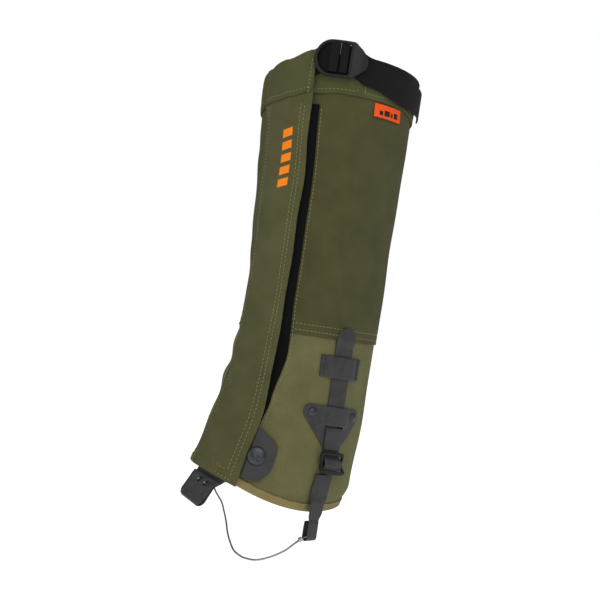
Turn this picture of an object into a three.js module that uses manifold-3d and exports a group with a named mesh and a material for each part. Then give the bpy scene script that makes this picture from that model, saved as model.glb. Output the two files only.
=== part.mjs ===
// Hunting gaiter for the left lower leg, in mm.
// +Z up the leg, the front closure flap faces -Y, the outer (lateral) side of the leg is +X.
// The origin is the middle of the boot opening at the level of the hem.
import * as THREE from 'three';
import { mergeVertices } from 'three/addons/utils/BufferGeometryUtils.js';
import Module from 'manifold-3d';

const wasm = await Module();
wasm.setup();

const DEG = Math.PI / 180;
const WELD = 1e-4;

// Cross-sections of the tube: height, half width, front depth, back depth, centre y
const SECTIONS = [
  [420, 69.2, 69.6, 69, 0],
  [358, 69.2, 69.6, 69, 0],
  [264, 64.6, 65.2, 68.6, 2.4],
  [188, 61.5, 61.7, 69.4, 4.6],
  [130, 61.3, 68.5, 71.2, 2.8],
  [72, 61.5, 81.8, 72.7, 0],
  [12, 62.4, 99, 71.7, -4],
  [-30, 62.4, 104, 71.7, -4.6],
];
// The hem is highest a little to the inner side of the front, and level behind
const HEM_LOW = -6.5;
const HEM_RISE = 31;
const HEM_PEAK = -10;
const HEM_SPREAD = 100;
const HEM_TUCK = 7;
const TUCK_HEIGHT = 15;

// Fabric layers, as distances outward from the tube's surface
const GAP = 0.3;
const UPPER_IN = 0;
const UPPER_OUT = 1.4;
const LOWER_IN = -1.7;
const LOWER_OUT = -0.35;
const CUFF_OUT = 3.1;
const TAPE_THICK = 1.1;
const FLAP_THICK = 1.4;
const FLAP_IN = 4.9;
const PANEL_SEAM_Z = 148;
const PANEL_LAP = 14;

// Front closure
const LATERAL_EDGE_X = -12;
const MEDIAL_EDGE_X = -18;
const FLAP_SEWN_X = -24;
const FLAP_FREE_X = 27;
const FRONT_SHIFT = [[60, 6.5], [185, -1.8], [310, 3.6]];
const BODY_COLS = 40;
const LOOP_TAPE_X = -9;
const LOOP_TAPE_EDGE = [[66, 27.5], [88, 29.5], [132, 34.5], [180, 33], [349, 32.5]];
const HOOK_TAPE_X = [-7, 24];

// Heights of the cross rows in the long pieces, dense where they step over a seam
const TAPE_ROWS = [66, 82, 100, 118, 132, 141, 147, 164, 188, 212, 238, 266, 296, 322, 349];
const UPPER_ROWS = [148, 164, 188, 212, 238, 266, 296, 334, 358];
const FLAP_ROWS = [26, 32, 40, 54, 72, 92, 112, 130, 141, 147, 164, 188, 212, 238, 266, 300, 334, 347, 362];

// Heights round the cuff, as angle from the front towards the outer side and height
const CUFF_TOP = [[-180, 396], [-140, 394], [-100, 376], [-40, 373], [-28, 377], [-14, 382], [5, 388],
  [24, 396], [180, 396]];
const CUFF_LOW = [[-180, 358], [-100, 352], [-40, 347], [0, 351], [10, 354], [27, 359], [46, 361],
  [85, 361.6], [100, 361.6], [125, 358], [180, 358]];

// Instep strap line on the outer side
const STRAP_Y = -7;
const STRAP_TILT = [[30, -0.1], [80, -0.045], [160, 0]];
const STRAP_WIDTH = 20;
const STRAP_THICK = 1.2;
const BUCKLE_PHI = 43 * DEG;
const CUFF_REACH = 76;
const WEB_WIDTH = 26;
const WEB_THICK = 1.2;
const WEB_MID_Z = 383.5;
const WEB_RISE = 6;

const COLOURS = {
  olive: 0x4f4f35, oliveLow: 0x5d5c40, flap: 0x53523a, cuff: 0x4c4e31, tan: 0x7a7049, black: 0x1a1a1c,
  rubber: 0x3d3d3f, webbing: 0x19191b, label: 0xe2501a, steel: 0xb4b6b8, gunmetal: 0x3a3c40, plastic: 0x161618,
};

function lerp(a, b, t) {
  return a + (b - a) * t;
}

function smooth(a, b, v) {
  const t = Math.min(1, Math.max(0, (v - a) / (b - a)));
  return t * t * (3 - 2 * t);
}

function table(rows, v) {
  let i = 0;
  while (i < rows.length - 2 && v > rows[i + 1][0]) i += 1;
  const [x0, y0] = rows[i];
  const [x1, y1] = rows[i + 1];
  return lerp(y0, y1, smooth(x0, x1, v));
}

// Smooth section values at a height, by cubic interpolation through SECTIONS
function sectionAt(z) {
  let i = 0;
  while (i < SECTIONS.length - 2 && z < SECTIONS[i + 1][0]) i += 1;
  const p0 = SECTIONS[Math.max(0, i - 1)];
  const p1 = SECTIONS[i];
  const p2 = SECTIONS[i + 1];
  const p3 = SECTIONS[Math.min(SECTIONS.length - 1, i + 2)];
  const span = p2[0] - p1[0];
  const t = (z - p1[0]) / span;
  const value = (k) => {
    const m1 = ((p2[k] - p0[k]) / (p2[0] - p0[0] || 1)) * span;
    const m2 = ((p3[k] - p1[k]) / (p3[0] - p1[0] || 1)) * span;
    const t2 = t * t;
    const t3 = t2 * t;
    return (2 * t3 - 3 * t2 + 1) * p1[k] + (t3 - 2 * t2 + t) * m1 + (3 * t2 - 2 * t3) * p2[k] + (t3 - t2) * m2;
  };
  return { a: value(1), bf: value(2), bb: value(3), cy: value(4) };
}

function wrapDeg(phi) {
  const d = phi / DEG;
  return ((((d + 180) % 360) + 360) % 360) - 180;
}

function linear(rows, v) {
  let i = 0;
  while (i < rows.length - 2 && v > rows[i + 1][0]) i += 1;
  const [x0, y0] = rows[i];
  const [x1, y1] = rows[i + 1];
  return lerp(y0, y1, Math.min(1, Math.max(0, (v - x0) / (x1 - x0))));
}

// The point at an angle and height, moved outward by off
function surface(phi, z, off) {
  const { a, bf, bb, cy } = sectionAt(z);
  const c = Math.cos(phi);
  const s = Math.sin(phi);
  const b = c > 0 ? bf : bb;
  const n = Math.hypot(b * s, a * c);
  const side = smooth(45, 120, Math.abs(wrapDeg(phi)));
  const tuck = HEM_TUCK * side * smooth(TUCK_HEIGHT, -6, z);
  const d = off - tuck;
  return [a * s + (d * b * s) / n, cy - b * c - (d * a * c) / n, z];
}

// The angle reached after walking the distance s round the tube from phi0
function walk(phi0, s, z, lift = 0) {
  const { a, bf, bb } = sectionAt(z);
  const steps = 8;
  let phi = phi0;
  for (let i = 0; i < steps; i += 1) {
    const b = Math.cos(phi) > 0 ? bf : bb;
    phi += s / steps / (Math.hypot(a * Math.cos(phi), b * Math.sin(phi)) + lift);
  }
  return phi;
}

// The angle of a place on the front closure, whose strips lie a little to one side of the middle
function phiAtX(x, z) {
  return Math.asin((x + table(FRONT_SHIFT, z)) / sectionAt(z).a);
}

function hemZ(phi) {
  const t = Math.min(1, Math.abs(wrapDeg(phi) - HEM_PEAK) / HEM_SPREAD);
  return HEM_LOW + HEM_RISE * (0.5 + 0.5 * Math.cos(Math.PI * t));
}

function cuffTop(phi) {
  return table(CUFF_TOP, wrapDeg(phi));
}

function cuffLow(phi) {
  return table(CUFF_LOW, wrapDeg(phi));
}

// Outer face of the body fabric at a height: the upper panel laps over the lower one
function bodyOut(z) {
  return linear([[PANEL_SEAM_Z - 7, LOWER_OUT], [PANEL_SEAM_Z - 1, UPPER_OUT]], z);
}

function meshFrom(points, faces) {
  const geo = new THREE.BufferGeometry();
  geo.setAttribute('position', new THREE.Float32BufferAttribute(points.flat(), 3));
  geo.setIndex(faces.flat());
  const flat = geo.toNonIndexed();
  flat.computeVertexNormals();
  return flat;
}

function volumeOf(points, faces) {
  let sum = 0;
  for (const [i, j, k] of faces) {
    const [a, b, c] = [points[i], points[j], points[k]];
    sum += a[0] * (b[1] * c[2] - b[2] * c[1]) - a[1] * (b[0] * c[2] - b[2] * c[0])
      + a[2] * (b[0] * c[1] - b[1] * c[0]);
  }
  return sum / 6;
}

function solid(points, faces) {
  const out = volumeOf(points, faces) < 0 ? faces.map(([a, b, c]) => [a, c, b]) : faces;
  return meshFrom(points, out);
}

// Closed sheet from a grid: at(u, v) gives { phi, z, lo, hi }
function sheet(cols, rows, at) {
  const points = [];
  const faces = [];
  for (const side of ['lo', 'hi']) {
    for (let j = 0; j <= rows; j += 1) {
      for (let i = 0; i <= cols; i += 1) {
        const p = at(i / cols, j / rows);
        points.push(surface(p.phi, p.z, p[side]));
      }
    }
  }
  const id = (i, j, k) => k * (cols + 1) * (rows + 1) + j * (cols + 1) + i;
  const quad = (a, b, c, d) => faces.push([a, b, c], [a, c, d]);
  for (let j = 0; j < rows; j += 1) {
    for (let i = 0; i < cols; i += 1) {
      quad(id(i, j, 1), id(i + 1, j, 1), id(i + 1, j + 1, 1), id(i, j + 1, 1));
      quad(id(i, j, 0), id(i, j + 1, 0), id(i + 1, j + 1, 0), id(i + 1, j, 0));
    }
  }
  for (let i = 0; i < cols; i += 1) {
    quad(id(i, 0, 0), id(i + 1, 0, 0), id(i + 1, 0, 1), id(i, 0, 1));
    quad(id(i + 1, rows, 0), id(i, rows, 0), id(i, rows, 1), id(i + 1, rows, 1));
  }
  for (let j = 0; j < rows; j += 1) {
    quad(id(0, j + 1, 0), id(0, j, 0), id(0, j, 1), id(0, j + 1, 1));
    quad(id(cols, j, 0), id(cols, j + 1, 0), id(cols, j + 1, 1), id(cols, j, 1));
  }
  return solid(points, faces);
}

// Closed solid swept round the tube: ring(k) gives { phi, loop: [[off, z], ...] }
function sweep(count, ring) {
  const points = [];
  const faces = [];
  const first = ring(0).loop;
  const n = first.length;
  for (let k = 0; k <= count; k += 1) {
    const { phi, loop } = ring(k / count);
    for (const [off, z] of loop) {
      const at = typeof phi === 'function' ? phi(z) : phi;
      points.push(surface(at, z, off));
    }
  }
  for (let k = 0; k < count; k += 1) {
    for (let i = 0; i < n; i += 1) {
      const a = k * n + i;
      const b = k * n + ((i + 1) % n);
      faces.push([a, b, b + n], [a, b + n, a + n]);
    }
  }
  const cap = THREE.ShapeUtils.triangulateShape(first.map(([x, y]) => new THREE.Vector2(x, y)), []);
  const end = count * n;
  for (const [a, b, c] of cap) faces.push([a, c, b], [end + a, end + b, end + c]);
  return solid(points, faces);
}

// The corners and triangles of a geometry, each shared corner once
function welded(geometry) {
  const bare = new THREE.BufferGeometry();
  bare.setAttribute('position', geometry.getAttribute('position'));
  if (geometry.index) bare.setIndex(geometry.index);
  const merged = mergeVertices(bare, WELD);
  const at = merged.getAttribute('position');
  const points = Array.from({ length: at.count }, (_, i) => [at.getX(i), at.getY(i), at.getZ(i)]);
  const faces = [];
  for (let i = 0; i < merged.index.count; i += 3) {
    const [a, b, c] = [0, 1, 2].map((k) => merged.index.getX(i + k));
    if (a !== b && b !== c && c !== a) faces.push([a, b, c]);
  }
  return { points, faces };
}

// Moves every corner of a geometry by a rule, and keeps its faces out
function bend(geometry, place) {
  const { points, faces } = welded(geometry);
  return solid(points.map(place), faces);
}

function asBody(geometry) {
  const { points, faces } = welded(geometry);
  const vertProperties = new Float32Array(points.flat());
  const triVerts = new Uint32Array(faces.flat());
  return new wasm.Manifold(new wasm.Mesh({ numProp: 3, vertProperties, triVerts }));
}

function asGeometry(body) {
  const mesh = body.getMesh();
  const points = [];
  for (let i = 0; i < mesh.numVert; i += 1) {
    points.push([0, 1, 2].map((k) => mesh.vertProperties[i * mesh.numProp + k]));
  }
  const faces = [];
  for (let i = 0; i < mesh.numTri; i += 1) faces.push([...mesh.triVerts.slice(3 * i, 3 * i + 3)]);
  return solid(points, faces);
}

function join(first, ...rest) {
  return asGeometry(rest.reduce((body, other) => body.add(asBody(other)), asBody(first)));
}

function cut(first, ...tools) {
  return asGeometry(tools.reduce((body, tool) => body.subtract(asBody(tool)), asBody(first)));
}

function common(first, second) {
  return asGeometry(asBody(first).intersect(asBody(second)));
}

// Splits triangles until no edge is longer than the given length, alike on both sides of an edge
function refine(geometry, longest) {
  const { points, faces } = welded(geometry);
  let current = faces;
  let middles = new Map([[0, 0]]);
  const split = (a, b) => {
    const [p, q] = [points[a], points[b]];
    if (Math.hypot(p[0] - q[0], p[1] - q[1], p[2] - q[2]) <= longest) return -1;
    const key = a < b ? `${a} ${b}` : `${b} ${a}`;
    if (!middles.has(key)) {
      middles.set(key, points.length);
      points.push([0, 1, 2].map((k) => (p[k] + q[k]) / 2));
    }
    return middles.get(key);
  };
  while (middles.size > 0) {
    middles = new Map();
    const next = [];
    for (const face of current) {
      const mids = face.map((a, i) => split(a, face[(i + 1) % 3]));
      const count = mids.filter((m) => m >= 0).length;
      // Turned so that the first edge is split, and with two split, the first and second
      let start = mids.findIndex((m) => m >= 0);
      if (count === 2 && mids[(start + 1) % 3] < 0) start = (start + 2) % 3;
      const [a, b, c] = [0, 1, 2].map((k) => face[(Math.max(start, 0) + k) % 3]);
      const [ab, bc, ca] = [0, 1, 2].map((k) => mids[(Math.max(start, 0) + k) % 3]);
      if (count === 0) next.push([a, b, c]);
      if (count === 1) next.push([a, ab, c], [ab, b, c]);
      if (count === 2) next.push([ab, b, bc], [a, ab, bc], [a, bc, c]);
      if (count === 3) next.push([a, ab, ca], [ab, b, bc], [bc, c, ca], [ab, bc, ca]);
    }
    current = next;
  }
  return solid(points, current);
}

function outline(points) {
  return new THREE.Shape(points.map(([x, y]) => new THREE.Vector2(x, y)));
}

function corners(x0, y0, x1, y1) {
  return [[x0, y0], [x1, y0], [x1, y1], [x0, y1]];
}

// The outline round circles [x, y, r], which are listed anticlockwise, with straight sides between them
function roundedOutline(circles) {
  const sides = circles.map(([x0, y0, r0], i) => {
    const [x1, y1, r1] = circles[(i + 1) % circles.length];
    return Math.atan2(y1 - y0, x1 - x0) - Math.acos((r0 - r1) / Math.hypot(x1 - x0, y1 - y0));
  });
  const shape = new THREE.Shape();
  circles.forEach(([x, y, r], i) => {
    shape.absarc(x, y, r, sides[(i + circles.length - 1) % circles.length], sides[i], false);
  });
  return shape;
}

function disc(x, y, r) {
  const shape = new THREE.Shape();
  shape.absarc(x, y, r, 0, 2 * Math.PI, false);
  return shape;
}

function withHoles(shape, ...holes) {
  shape.holes.push(...holes);
  return shape;
}

// A flat shape as a slab between two levels of its third coordinate
function slab(shape, from, to, curveSegments = 6) {
  const geometry = new THREE.ExtrudeGeometry(shape, { depth: to - from, bevelEnabled: false, curveSegments });
  return geometry.translate(0, 0, from);
}

// A profile of [radius, height] turned round +Z
function revolve(points, sides = 20) {
  const profile = points.map(([r, h]) => new THREE.Vector2(r, h));
  return bend(new THREE.LatheGeometry(profile, sides).rotateX(Math.PI / 2), (p) => p);
}

// Turns a geometry built round +Z to a direction and moves it to a point
function aim(geometry, point, direction) {
  const turn = new THREE.Quaternion().setFromUnitVectors(new THREE.Vector3(0, 0, 1), direction);
  return geometry.applyMatrix4(new THREE.Matrix4().makeRotationFromQuaternion(turn).setPosition(point));
}

// Places a geometry built round +Z on the tube's surface at an angle and height
function stud(geometry, phi, z, off) {
  const at = new THREE.Vector3(...surface(phi, z, 0));
  const round = new THREE.Vector3(...surface(phi + 0.01, z, 0)).sub(at);
  const up = new THREE.Vector3(...surface(phi, z + 1, 0)).sub(at);
  const out = round.cross(up).normalize();
  return aim(geometry, at.addScaledVector(out, off), out);
}

// Bends a geometry whose coordinates are (distance round, height, outward) onto the tube
function onTube(geometry, phi0, cell) {
  return bend(refine(geometry, cell), ([s, z, t]) => surface(walk(phi0, s, z), z, t));
}

function strapPhi(z) {
  const { bf, cy } = sectionAt(z);
  return Math.acos((cy - STRAP_Y) / bf);
}

// A place on the instep strap's line: how far behind its middle, and its height
function strapSpot(s, z) {
  const height = z + s * table(STRAP_TILT, z);
  return { phi: walk(strapPhi(height), s, height), z: height };
}

// Bends a geometry in (distance behind the strap's middle, height, outward) onto the outer side
function onStrap(geometry, cell, offset = () => 0) {
  return bend(refine(geometry, cell), ([s, z, t]) => {
    const spot = strapSpot(s, z);
    return surface(spot.phi, spot.z, t + offset(s, z));
  });
}

// ---- body ----

function bodyPhi(u, z) {
  const start = phiAtX(LATERAL_EDGE_X, z);
  const end = 2 * Math.PI + phiAtX(MEDIAL_EDGE_X, z);
  return lerp(start, end, u);
}

function bodyCuffTop(phi) {
  return cuffTop(phi) - 2.4 * smooth(50, 20, Math.abs(wrapDeg(phi)));
}

function upperPanel() {
  const rows = UPPER_ROWS.length;
  return sheet(BODY_COLS, rows, (u, v) => {
    const k = Math.round(v * rows);
    const z = k < rows ? UPPER_ROWS[k] : bodyCuffTop(bodyPhi(u, 380)) - 2.4;
    return { phi: bodyPhi(u, z), z, lo: UPPER_IN, hi: UPPER_OUT };
  });
}

function lowerPanel() {
  const steps = [2, 4.3, 6.6, 11, 18, 40, 66, 92, 118];
  return sheet(BODY_COLS, steps.length, (u, v) => {
    const k = Math.round(v * steps.length);
    const z = k < steps.length ? hemZ(bodyPhi(u, 10)) + steps[k] : PANEL_SEAM_Z + PANEL_LAP;
    return { phi: bodyPhi(u, z), z, lo: LOWER_IN, hi: LOWER_OUT };
  });
}

function topCuff() {
  return sweep(BODY_COLS, (u) => {
    const phi = bodyPhi(u, 380);
    const low = cuffLow(phi);
    const top = bodyCuffTop(phi);
    return { phi, loop: [[CUFF_OUT, low], [CUFF_OUT, lerp(low, top, 0.5)], [CUFF_OUT, top - 1.4], [2.3, top],
      [-1, top], [LOWER_IN, top - 1], [LOWER_IN, low + 2], [-GAP, low + 2], [-GAP, top - 2],
      [UPPER_OUT + GAP, top - 2], [UPPER_OUT + GAP, low]] };
  });
}

function hemBinding() {
  return sweep(BODY_COLS, (u) => {
    const low = hemZ(bodyPhi(u, 10));
    const out = LOWER_OUT + GAP;
    const back = LOWER_IN - GAP;
    return { phi: (z) => bodyPhi(u, z), loop: [[out, low + 6.6], [out, low + 4.3], [out, low + 1.6],
      [back, low + 1.6], [back, low + 4.3], [back, low + 6.6], [back - 0.9, low + 6.6], [back - 0.9, low + 1],
      [LOWER_IN, low], [LOWER_OUT, low], [out + 0.9, low + 1], [out + 0.9, low + 6.6]] };
  });
}

function loopTape() {
  return sheet(5, TAPE_ROWS.length - 1, (u, v) => {
    const z = TAPE_ROWS[Math.round(v * (TAPE_ROWS.length - 1))];
    const x = lerp(LOOP_TAPE_X, table(LOOP_TAPE_EDGE, z), u);
    const base = bodyOut(z) + 0.5;
    return { phi: phiAtX(x, z), z, lo: base, hi: base + TAPE_THICK };
  });
}

const LABEL_PHI = 84.5 * DEG;
const LABEL_HALF = 15.5;
const LABEL_TILT = 0.03;
const LABEL_LOW = 347.9;
const LABEL_HIGH = 360.4;
const LABEL_THICK = 1.2;

function label() {
  const shape = outline(corners(-LABEL_HALF, LABEL_LOW, LABEL_HALF, LABEL_HIGH));
  const cloth = slab(shape, UPPER_OUT + GAP, UPPER_OUT + GAP + LABEL_THICK);
  const tilted = bend(refine(cloth, 6), ([s, z, t]) => [s, z + LABEL_TILT * s, t]);
  return onTube(tilted, LABEL_PHI, 8);
}

// ---- front flap ----

function flapBase(x, z) {
  const seam = bodyOut(z) + GAP;
  const edge = seam + linear([[32, 1.3], [40, 0], [334, 0], [347, CUFF_OUT - UPPER_OUT]], z);
  return lerp(edge, FLAP_IN, smooth(-18, -10, x));
}

function flapX(u) {
  return lerp(FLAP_SEWN_X, FLAP_FREE_X, u);
}

function frontFlap() {
  const rows = FLAP_ROWS.length + 1;
  return sheet(12, rows, (u, v) => {
    const x = flapX(u);
    const k = Math.round(v * rows);
    let z = FLAP_ROWS[k - 1];
    if (k === 0) z = hemZ(phiAtX(x, 15));
    if (k === rows) z = cuffTop(phiAtX(x, 380)) - 1.4;
    const lo = flapBase(x, z);
    return { phi: phiAtX(x, z), z, lo, hi: lo + FLAP_THICK };
  });
}

function hookTape() {
  return sheet(4, TAPE_ROWS.length - 1, (u, v) => {
    const z = TAPE_ROWS[Math.round(v * (TAPE_ROWS.length - 1))];
    return { phi: phiAtX(lerp(HOOK_TAPE_X[0], HOOK_TAPE_X[1], u), z), z, lo: FLAP_IN - GAP - TAPE_THICK,
      hi: FLAP_IN - GAP };
  });
}

function flapCuff() {
  return sweep(12, (u) => {
    const x = flapX(u);
    const phi = phiAtX(x, 380);
    const low = cuffLow(phi);
    const top = cuffTop(phi);
    const base = flapBase(x, 380);
    const out = base + FLAP_THICK + GAP;
    return { phi, loop: [[out + 1.2, low], [out + 1.2, lerp(low, top, 0.5)], [out + 1.2, top - 0.6],
      [out + 0.6, top], [base, top], [base, top - 1.1], [out, top - 1.1], [out, low]] };
  });
}

const SNAP_PHI = 38.8 * DEG;
const SNAP_Z = 38.8;
const SNAP_FOLD_S = -7;
const SNAP_IN = 2.4;
const SNAP_OUT = 3.9;
const SNAP_TOP = 65.6;

function snapOutline() {
  return roundedOutline([[3.2, 31.8, 13], [3, 42.5, 13], [-11.8, 66.2, 1.2], [-22, 66.4, 1], [-22, 27, 1]]);
}

function snapSlab(s0, s1) {
  const whole = slab(withHoles(snapOutline(), disc(0, SNAP_Z, 2.9)), SNAP_IN, SNAP_OUT, 7);
  return common(whole, slab(outline(corners(s0, 0, s1, SNAP_TOP)), 0, 8));
}

function snapTab() {
  return onTube(snapSlab(SNAP_FOLD_S, 40), SNAP_PHI, 7);
}

// The part of the snap tab that is sewn under the flap
function snapTabBase() {
  return onTube(snapSlab(-40, SNAP_FOLD_S - GAP), SNAP_PHI, 7);
}

function snapCap() {
  const profile = [[0, -1.6], [1.7, -1.6], [1.7, 0.5], [7.6, 0.5], [7.9, 1.1], [7.2, 2], [4.4, 2.9], [0, 3.2]];
  return stud(revolve(profile, 24), SNAP_PHI, SNAP_Z, SNAP_OUT);
}

function snapSocket() {
  const body = revolve([[2.9, 0], [5.6, 0], [5.9, 0.5], [5.6, 1], [2.9, 1], [2.9, 0]], 20);
  return stud(body, SNAP_PHI, SNAP_Z, 1.0);
}

function snapStud() {
  const body = revolve([[0, 0], [5.2, 0], [5.2, 0.6], [2.3, 0.7], [2.5, 1.4], [2, 1.8], [0, 1.8]], 20);
  return stud(body, SNAP_PHI, SNAP_Z, 0.05);
}

function snapPost() {
  const body = revolve([[0, 0], [5, 0], [5.4, -0.5], [4, -1.1], [0, -1.2]], 20);
  return stud(body, SNAP_PHI, SNAP_Z, LOWER_IN - GAP - 0.2);
}

// ---- lace hook at the toe ----

const LACE_X = 6.4;
const LACE_Z = 19.5;
const LACE_IN = 2.6;
const LACE_HALF = 13.7;
const LACE_LENGTH = 28.6;
const LACE_ROOT = -7;
const LACE_TURN = 5.7 * DEG;
const LACE_LEAN = 14.9 * DEG;
const LACE_TILT = 22.3 * DEG;
const LACE_SLOTS = [-2.9, 5.1];

// The tab's own axes: across it, down it, and out from its face
function laceFrame() {
  const origin = new THREE.Vector3(...surface(phiAtX(LACE_X, LACE_Z), LACE_Z, LACE_IN));
  const level = new THREE.Vector3(Math.cos(LACE_TURN), Math.sin(LACE_TURN), 0);
  const front = new THREE.Vector3(Math.sin(LACE_TURN), -Math.cos(LACE_TURN), 0);
  const up = new THREE.Vector3(0, 0, 1);
  const across = level.clone().multiplyScalar(Math.cos(LACE_LEAN)).addScaledVector(up, -Math.sin(LACE_LEAN));
  const down = level.multiplyScalar(-Math.sin(LACE_LEAN)).addScaledVector(up, -Math.cos(LACE_LEAN))
    .multiplyScalar(Math.cos(LACE_TILT)).addScaledVector(front, Math.sin(LACE_TILT));
  const out = new THREE.Vector3().crossVectors(across, down).negate();
  return { origin, across, down, out };
}

// The tab is flat in its own frame, and follows the shell where the flap covers its root
function lacePoint([x, d, t]) {
  const { origin, across, down, out } = laceFrame();
  const flat = origin.clone().addScaledVector(across, x).addScaledVector(down, d).addScaledVector(out, t);
  const under = new THREE.Vector3(...surface(Math.asin(flat.x / sectionAt(flat.z).a), flat.z, LACE_IN + t));
  return flat.lerp(under, smooth(9, 2, d)).toArray();
}

// A strip folded back on itself, open as a small roll at the fold, with two slots for the hook
function laceTab() {
  const fold = LACE_LENGTH - 2.4;
  const roll = new THREE.Shape();
  roll.moveTo(LACE_ROOT, -0.6);
  roll.lineTo(fold, -0.6);
  roll.absarc(fold, 1.3, 1.9, -Math.PI / 2, Math.PI / 2, false);
  roll.lineTo(3.5, 3.2);
  roll.lineTo(3.5, 0.6);
  roll.lineTo(LACE_ROOT, 0.6);
  const bore = new THREE.Shape();
  bore.moveTo(17, 0.7);
  bore.lineTo(fold, 0.7);
  bore.absarc(fold, 1.3, 0.6, -Math.PI / 2, Math.PI / 2, false);
  bore.lineTo(17, 1.9);
  const strip = bend(slab(withHoles(roll, bore), -LACE_HALF, LACE_HALF), ([d, t, x]) => [x, d, t]);
  const r = 7;
  const low = LACE_LENGTH - r;
  const rounded = roundedOutline([[LACE_HALF - 1, -10, 1], [LACE_HALF - r, low, r], [r - LACE_HALF, low, r],
    [1 - LACE_HALF, -10, 1]]);
  const slots = LACE_SLOTS.map((x) => slab(outline(corners(x - 1.1, 6.5, x + 1.1, 11.5)), -4, 8));
  const tab = cut(common(strip, slab(rounded, -4, 8)), ...slots);
  return bend(refine(tab, 11), lacePoint);
}

function tube(points, radius, sides, steps) {
  const path = new THREE.CatmullRomCurve3(points.map((p) => new THREE.Vector3(...p)), false, 'centripetal');
  const shape = new THREE.Shape();
  shape.absarc(0, 0, radius, 0, 2 * Math.PI, false);
  const curveSegments = sides / 2;
  return new THREE.ExtrudeGeometry(shape, { steps, extrudePath: path, bevelEnabled: false, curveSegments });
}

function laceHook() {
  const [left, right] = LACE_SLOTS;
  const middle = (left + right) / 2;
  const line = [[left, 9, 4.4], [left, 9, -1.4], [left, 10.5, -2.6], [left, 17, -3.4], [left + 1.6, 21, -3.6],
    [middle, 22.4, -3.6], [right - 1.6, 21, -3.6], [right, 17, -3.4], [right, 10.5, -2.6], [right, 9, -1.4],
    [right, 9, 4.4]];
  return tube(line.map(lacePoint), 0.75, 6, 32);
}

// ---- instep strap, outer side ----

function domed(r, h) {
  return revolve([[0, 0], [r - 0.4, 0], [r, 0.4], [r * 0.8, h * 0.75], [r * 0.45, h * 0.96], [0, h]], 18);
}

const RIVET_S = 25;
const RIVET_Z = 81;
const SLOT_Z = 70;

function patchLift(s, z) {
  return 1.7 * smooth(18, 12.5, Math.abs(s)) * smooth(SLOT_Z - 1, SLOT_Z + 2.6, z);
}

function instepPatch() {
  const shoulders = roundedOutline([[8.5, 54, 3], [26.3, 80.8, 7.2], [-26.3, 80.8, 7.2], [-8.5, 54, 3]]);
  const slot = outline(corners(-10.8, SLOT_Z - 1.1, 10.8, SLOT_Z + 1.1));
  const plate = slab(withHoles(shoulders, slot), 0, 1.3, 5);
  const tongue = slab(outline(corners(-9, 42.8, 9, 56)), 0, 1.3);
  return onStrap(join(plate, tongue), 9, patchLift);
}

function rivet(spot, outer) {
  if (outer) return stud(domed(4, 1.9), spot.phi, spot.z, 1.5);
  return stud(bend(domed(3.6, 1), ([x, y, z]) => [x, y, -z]), spot.phi, spot.z, LOWER_IN - GAP);
}

function instepRivet(side, outer) {
  return rivet(strapSpot(side * RIVET_S, RIVET_Z), outer);
}

function strapTail() {
  const shape = new THREE.Shape();
  const half = STRAP_WIDTH / 2;
  shape.moveTo(-half, 84);
  shape.lineTo(half, 84);
  shape.absarc(0, 159 - half, half, 0, Math.PI, false);
  return onStrap(slab(shape, 0, STRAP_THICK, 10), 8, (s, z) => bodyOut(z + 3) + GAP);
}

function keeper() {
  const band = slab(outline(corners(-22.5, 113.2, 22.5, 133)), 0, 1.2);
  return onStrap(band, 5.5, (s) => 2.1 * smooth(15.5, 11.2, Math.abs(s)));
}

// A strap strip from a centre line in (height, outward), with its width across
function strapStrip(line, width) {
  const left = [];
  const right = [];
  line.forEach(([z, t], i) => {
    const [z0, t0] = line[Math.max(0, i - 1)];
    const [z1, t1] = line[Math.min(line.length - 1, i + 1)];
    const n = Math.hypot(z1 - z0, t1 - t0);
    const dz = ((t1 - t0) / n) * STRAP_THICK * 0.5;
    const dt = (-(z1 - z0) / n) * STRAP_THICK * 0.5;
    left.push([z + dz, t + dt]);
    right.push([z - dz, t - dt]);
  });
  return bend(slab(outline([...left, ...right.reverse()]), -width / 2, width / 2), ([z, t, s]) => [s, z, t]);
}

const THREADED_WIDTH = 19.6;

function strapOverPatch() {
  return onStrap(strapStrip([[69.4, 1.9], [67, 2.3], [60, 2.2], [49.6, 2.2]], THREADED_WIDTH), 8);
}

function strapInBuckle() {
  const line = [[49, 2.2], [45, 2.3], [43.2, 3.4], [41.9, 5.1], [40.4, 6], [37.5, 6.3], [35.4, 6.3],
    [33.9, 5.3], [32.4, 4], [30.4, 3.2]];
  return onStrap(strapStrip(line, THREADED_WIDTH), 7);
}

// Slide buckle in (distance round, height), with flared lower lip
function instepBuckle() {
  const frame = outline([[-13.5, 47.7], [-12.5, 48.5], [12.5, 48.5], [13.5, 47.7], [14.2, 44], [12.9, 39.2],
    [14.8, 33], [15.4, 30.8], [13.5, 29.4], [6, 28.6], [-6, 28.6], [-13.5, 29.4], [-15.4, 30.8], [-14.8, 33],
    [-12.9, 39.2], [-14.2, 44]]);
  const upper = outline(corners(-10.4, 39.1, 10.4, 45.6));
  const lower = outline(corners(-10.4, 32.4, 10.4, 36.9));
  const plate = slab(withHoles(frame, upper, lower), 2.6, 5.6);
  const relief = slab(outline(corners(-10.4, 36.5, 10.4, 39.6)), 3.9, 6);
  const raised = (z) => 3.4 * smooth(36.8, 32, z) + 0.9 * smooth(42.5, 45.6, z);
  return onStrap(bend(refine(cut(plate, relief), 7), ([s, z, t]) => [s, z, t + raised(z)]), 7);
}

// Loop of the patch's tongue, round the buckle's middle bar
function tongueLoop() {
  const ring = withHoles(outline(corners(34.9, 0.1, 41.1, 4.9)), outline(corners(35.9, 1.1, 40.1, 4.2)));
  return onStrap(bend(slab(ring, -8, 8), ([z, t, s]) => [s, z, t]), 8);
}

// The leg of the strap below the buckle, in (y, z), with its end loop round the Y axis
const LOOP_X = 62.5;
const LOOP_Y = -18;
const LOOP_Z = -27;
const LOOP_WIDTH = 12;

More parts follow.
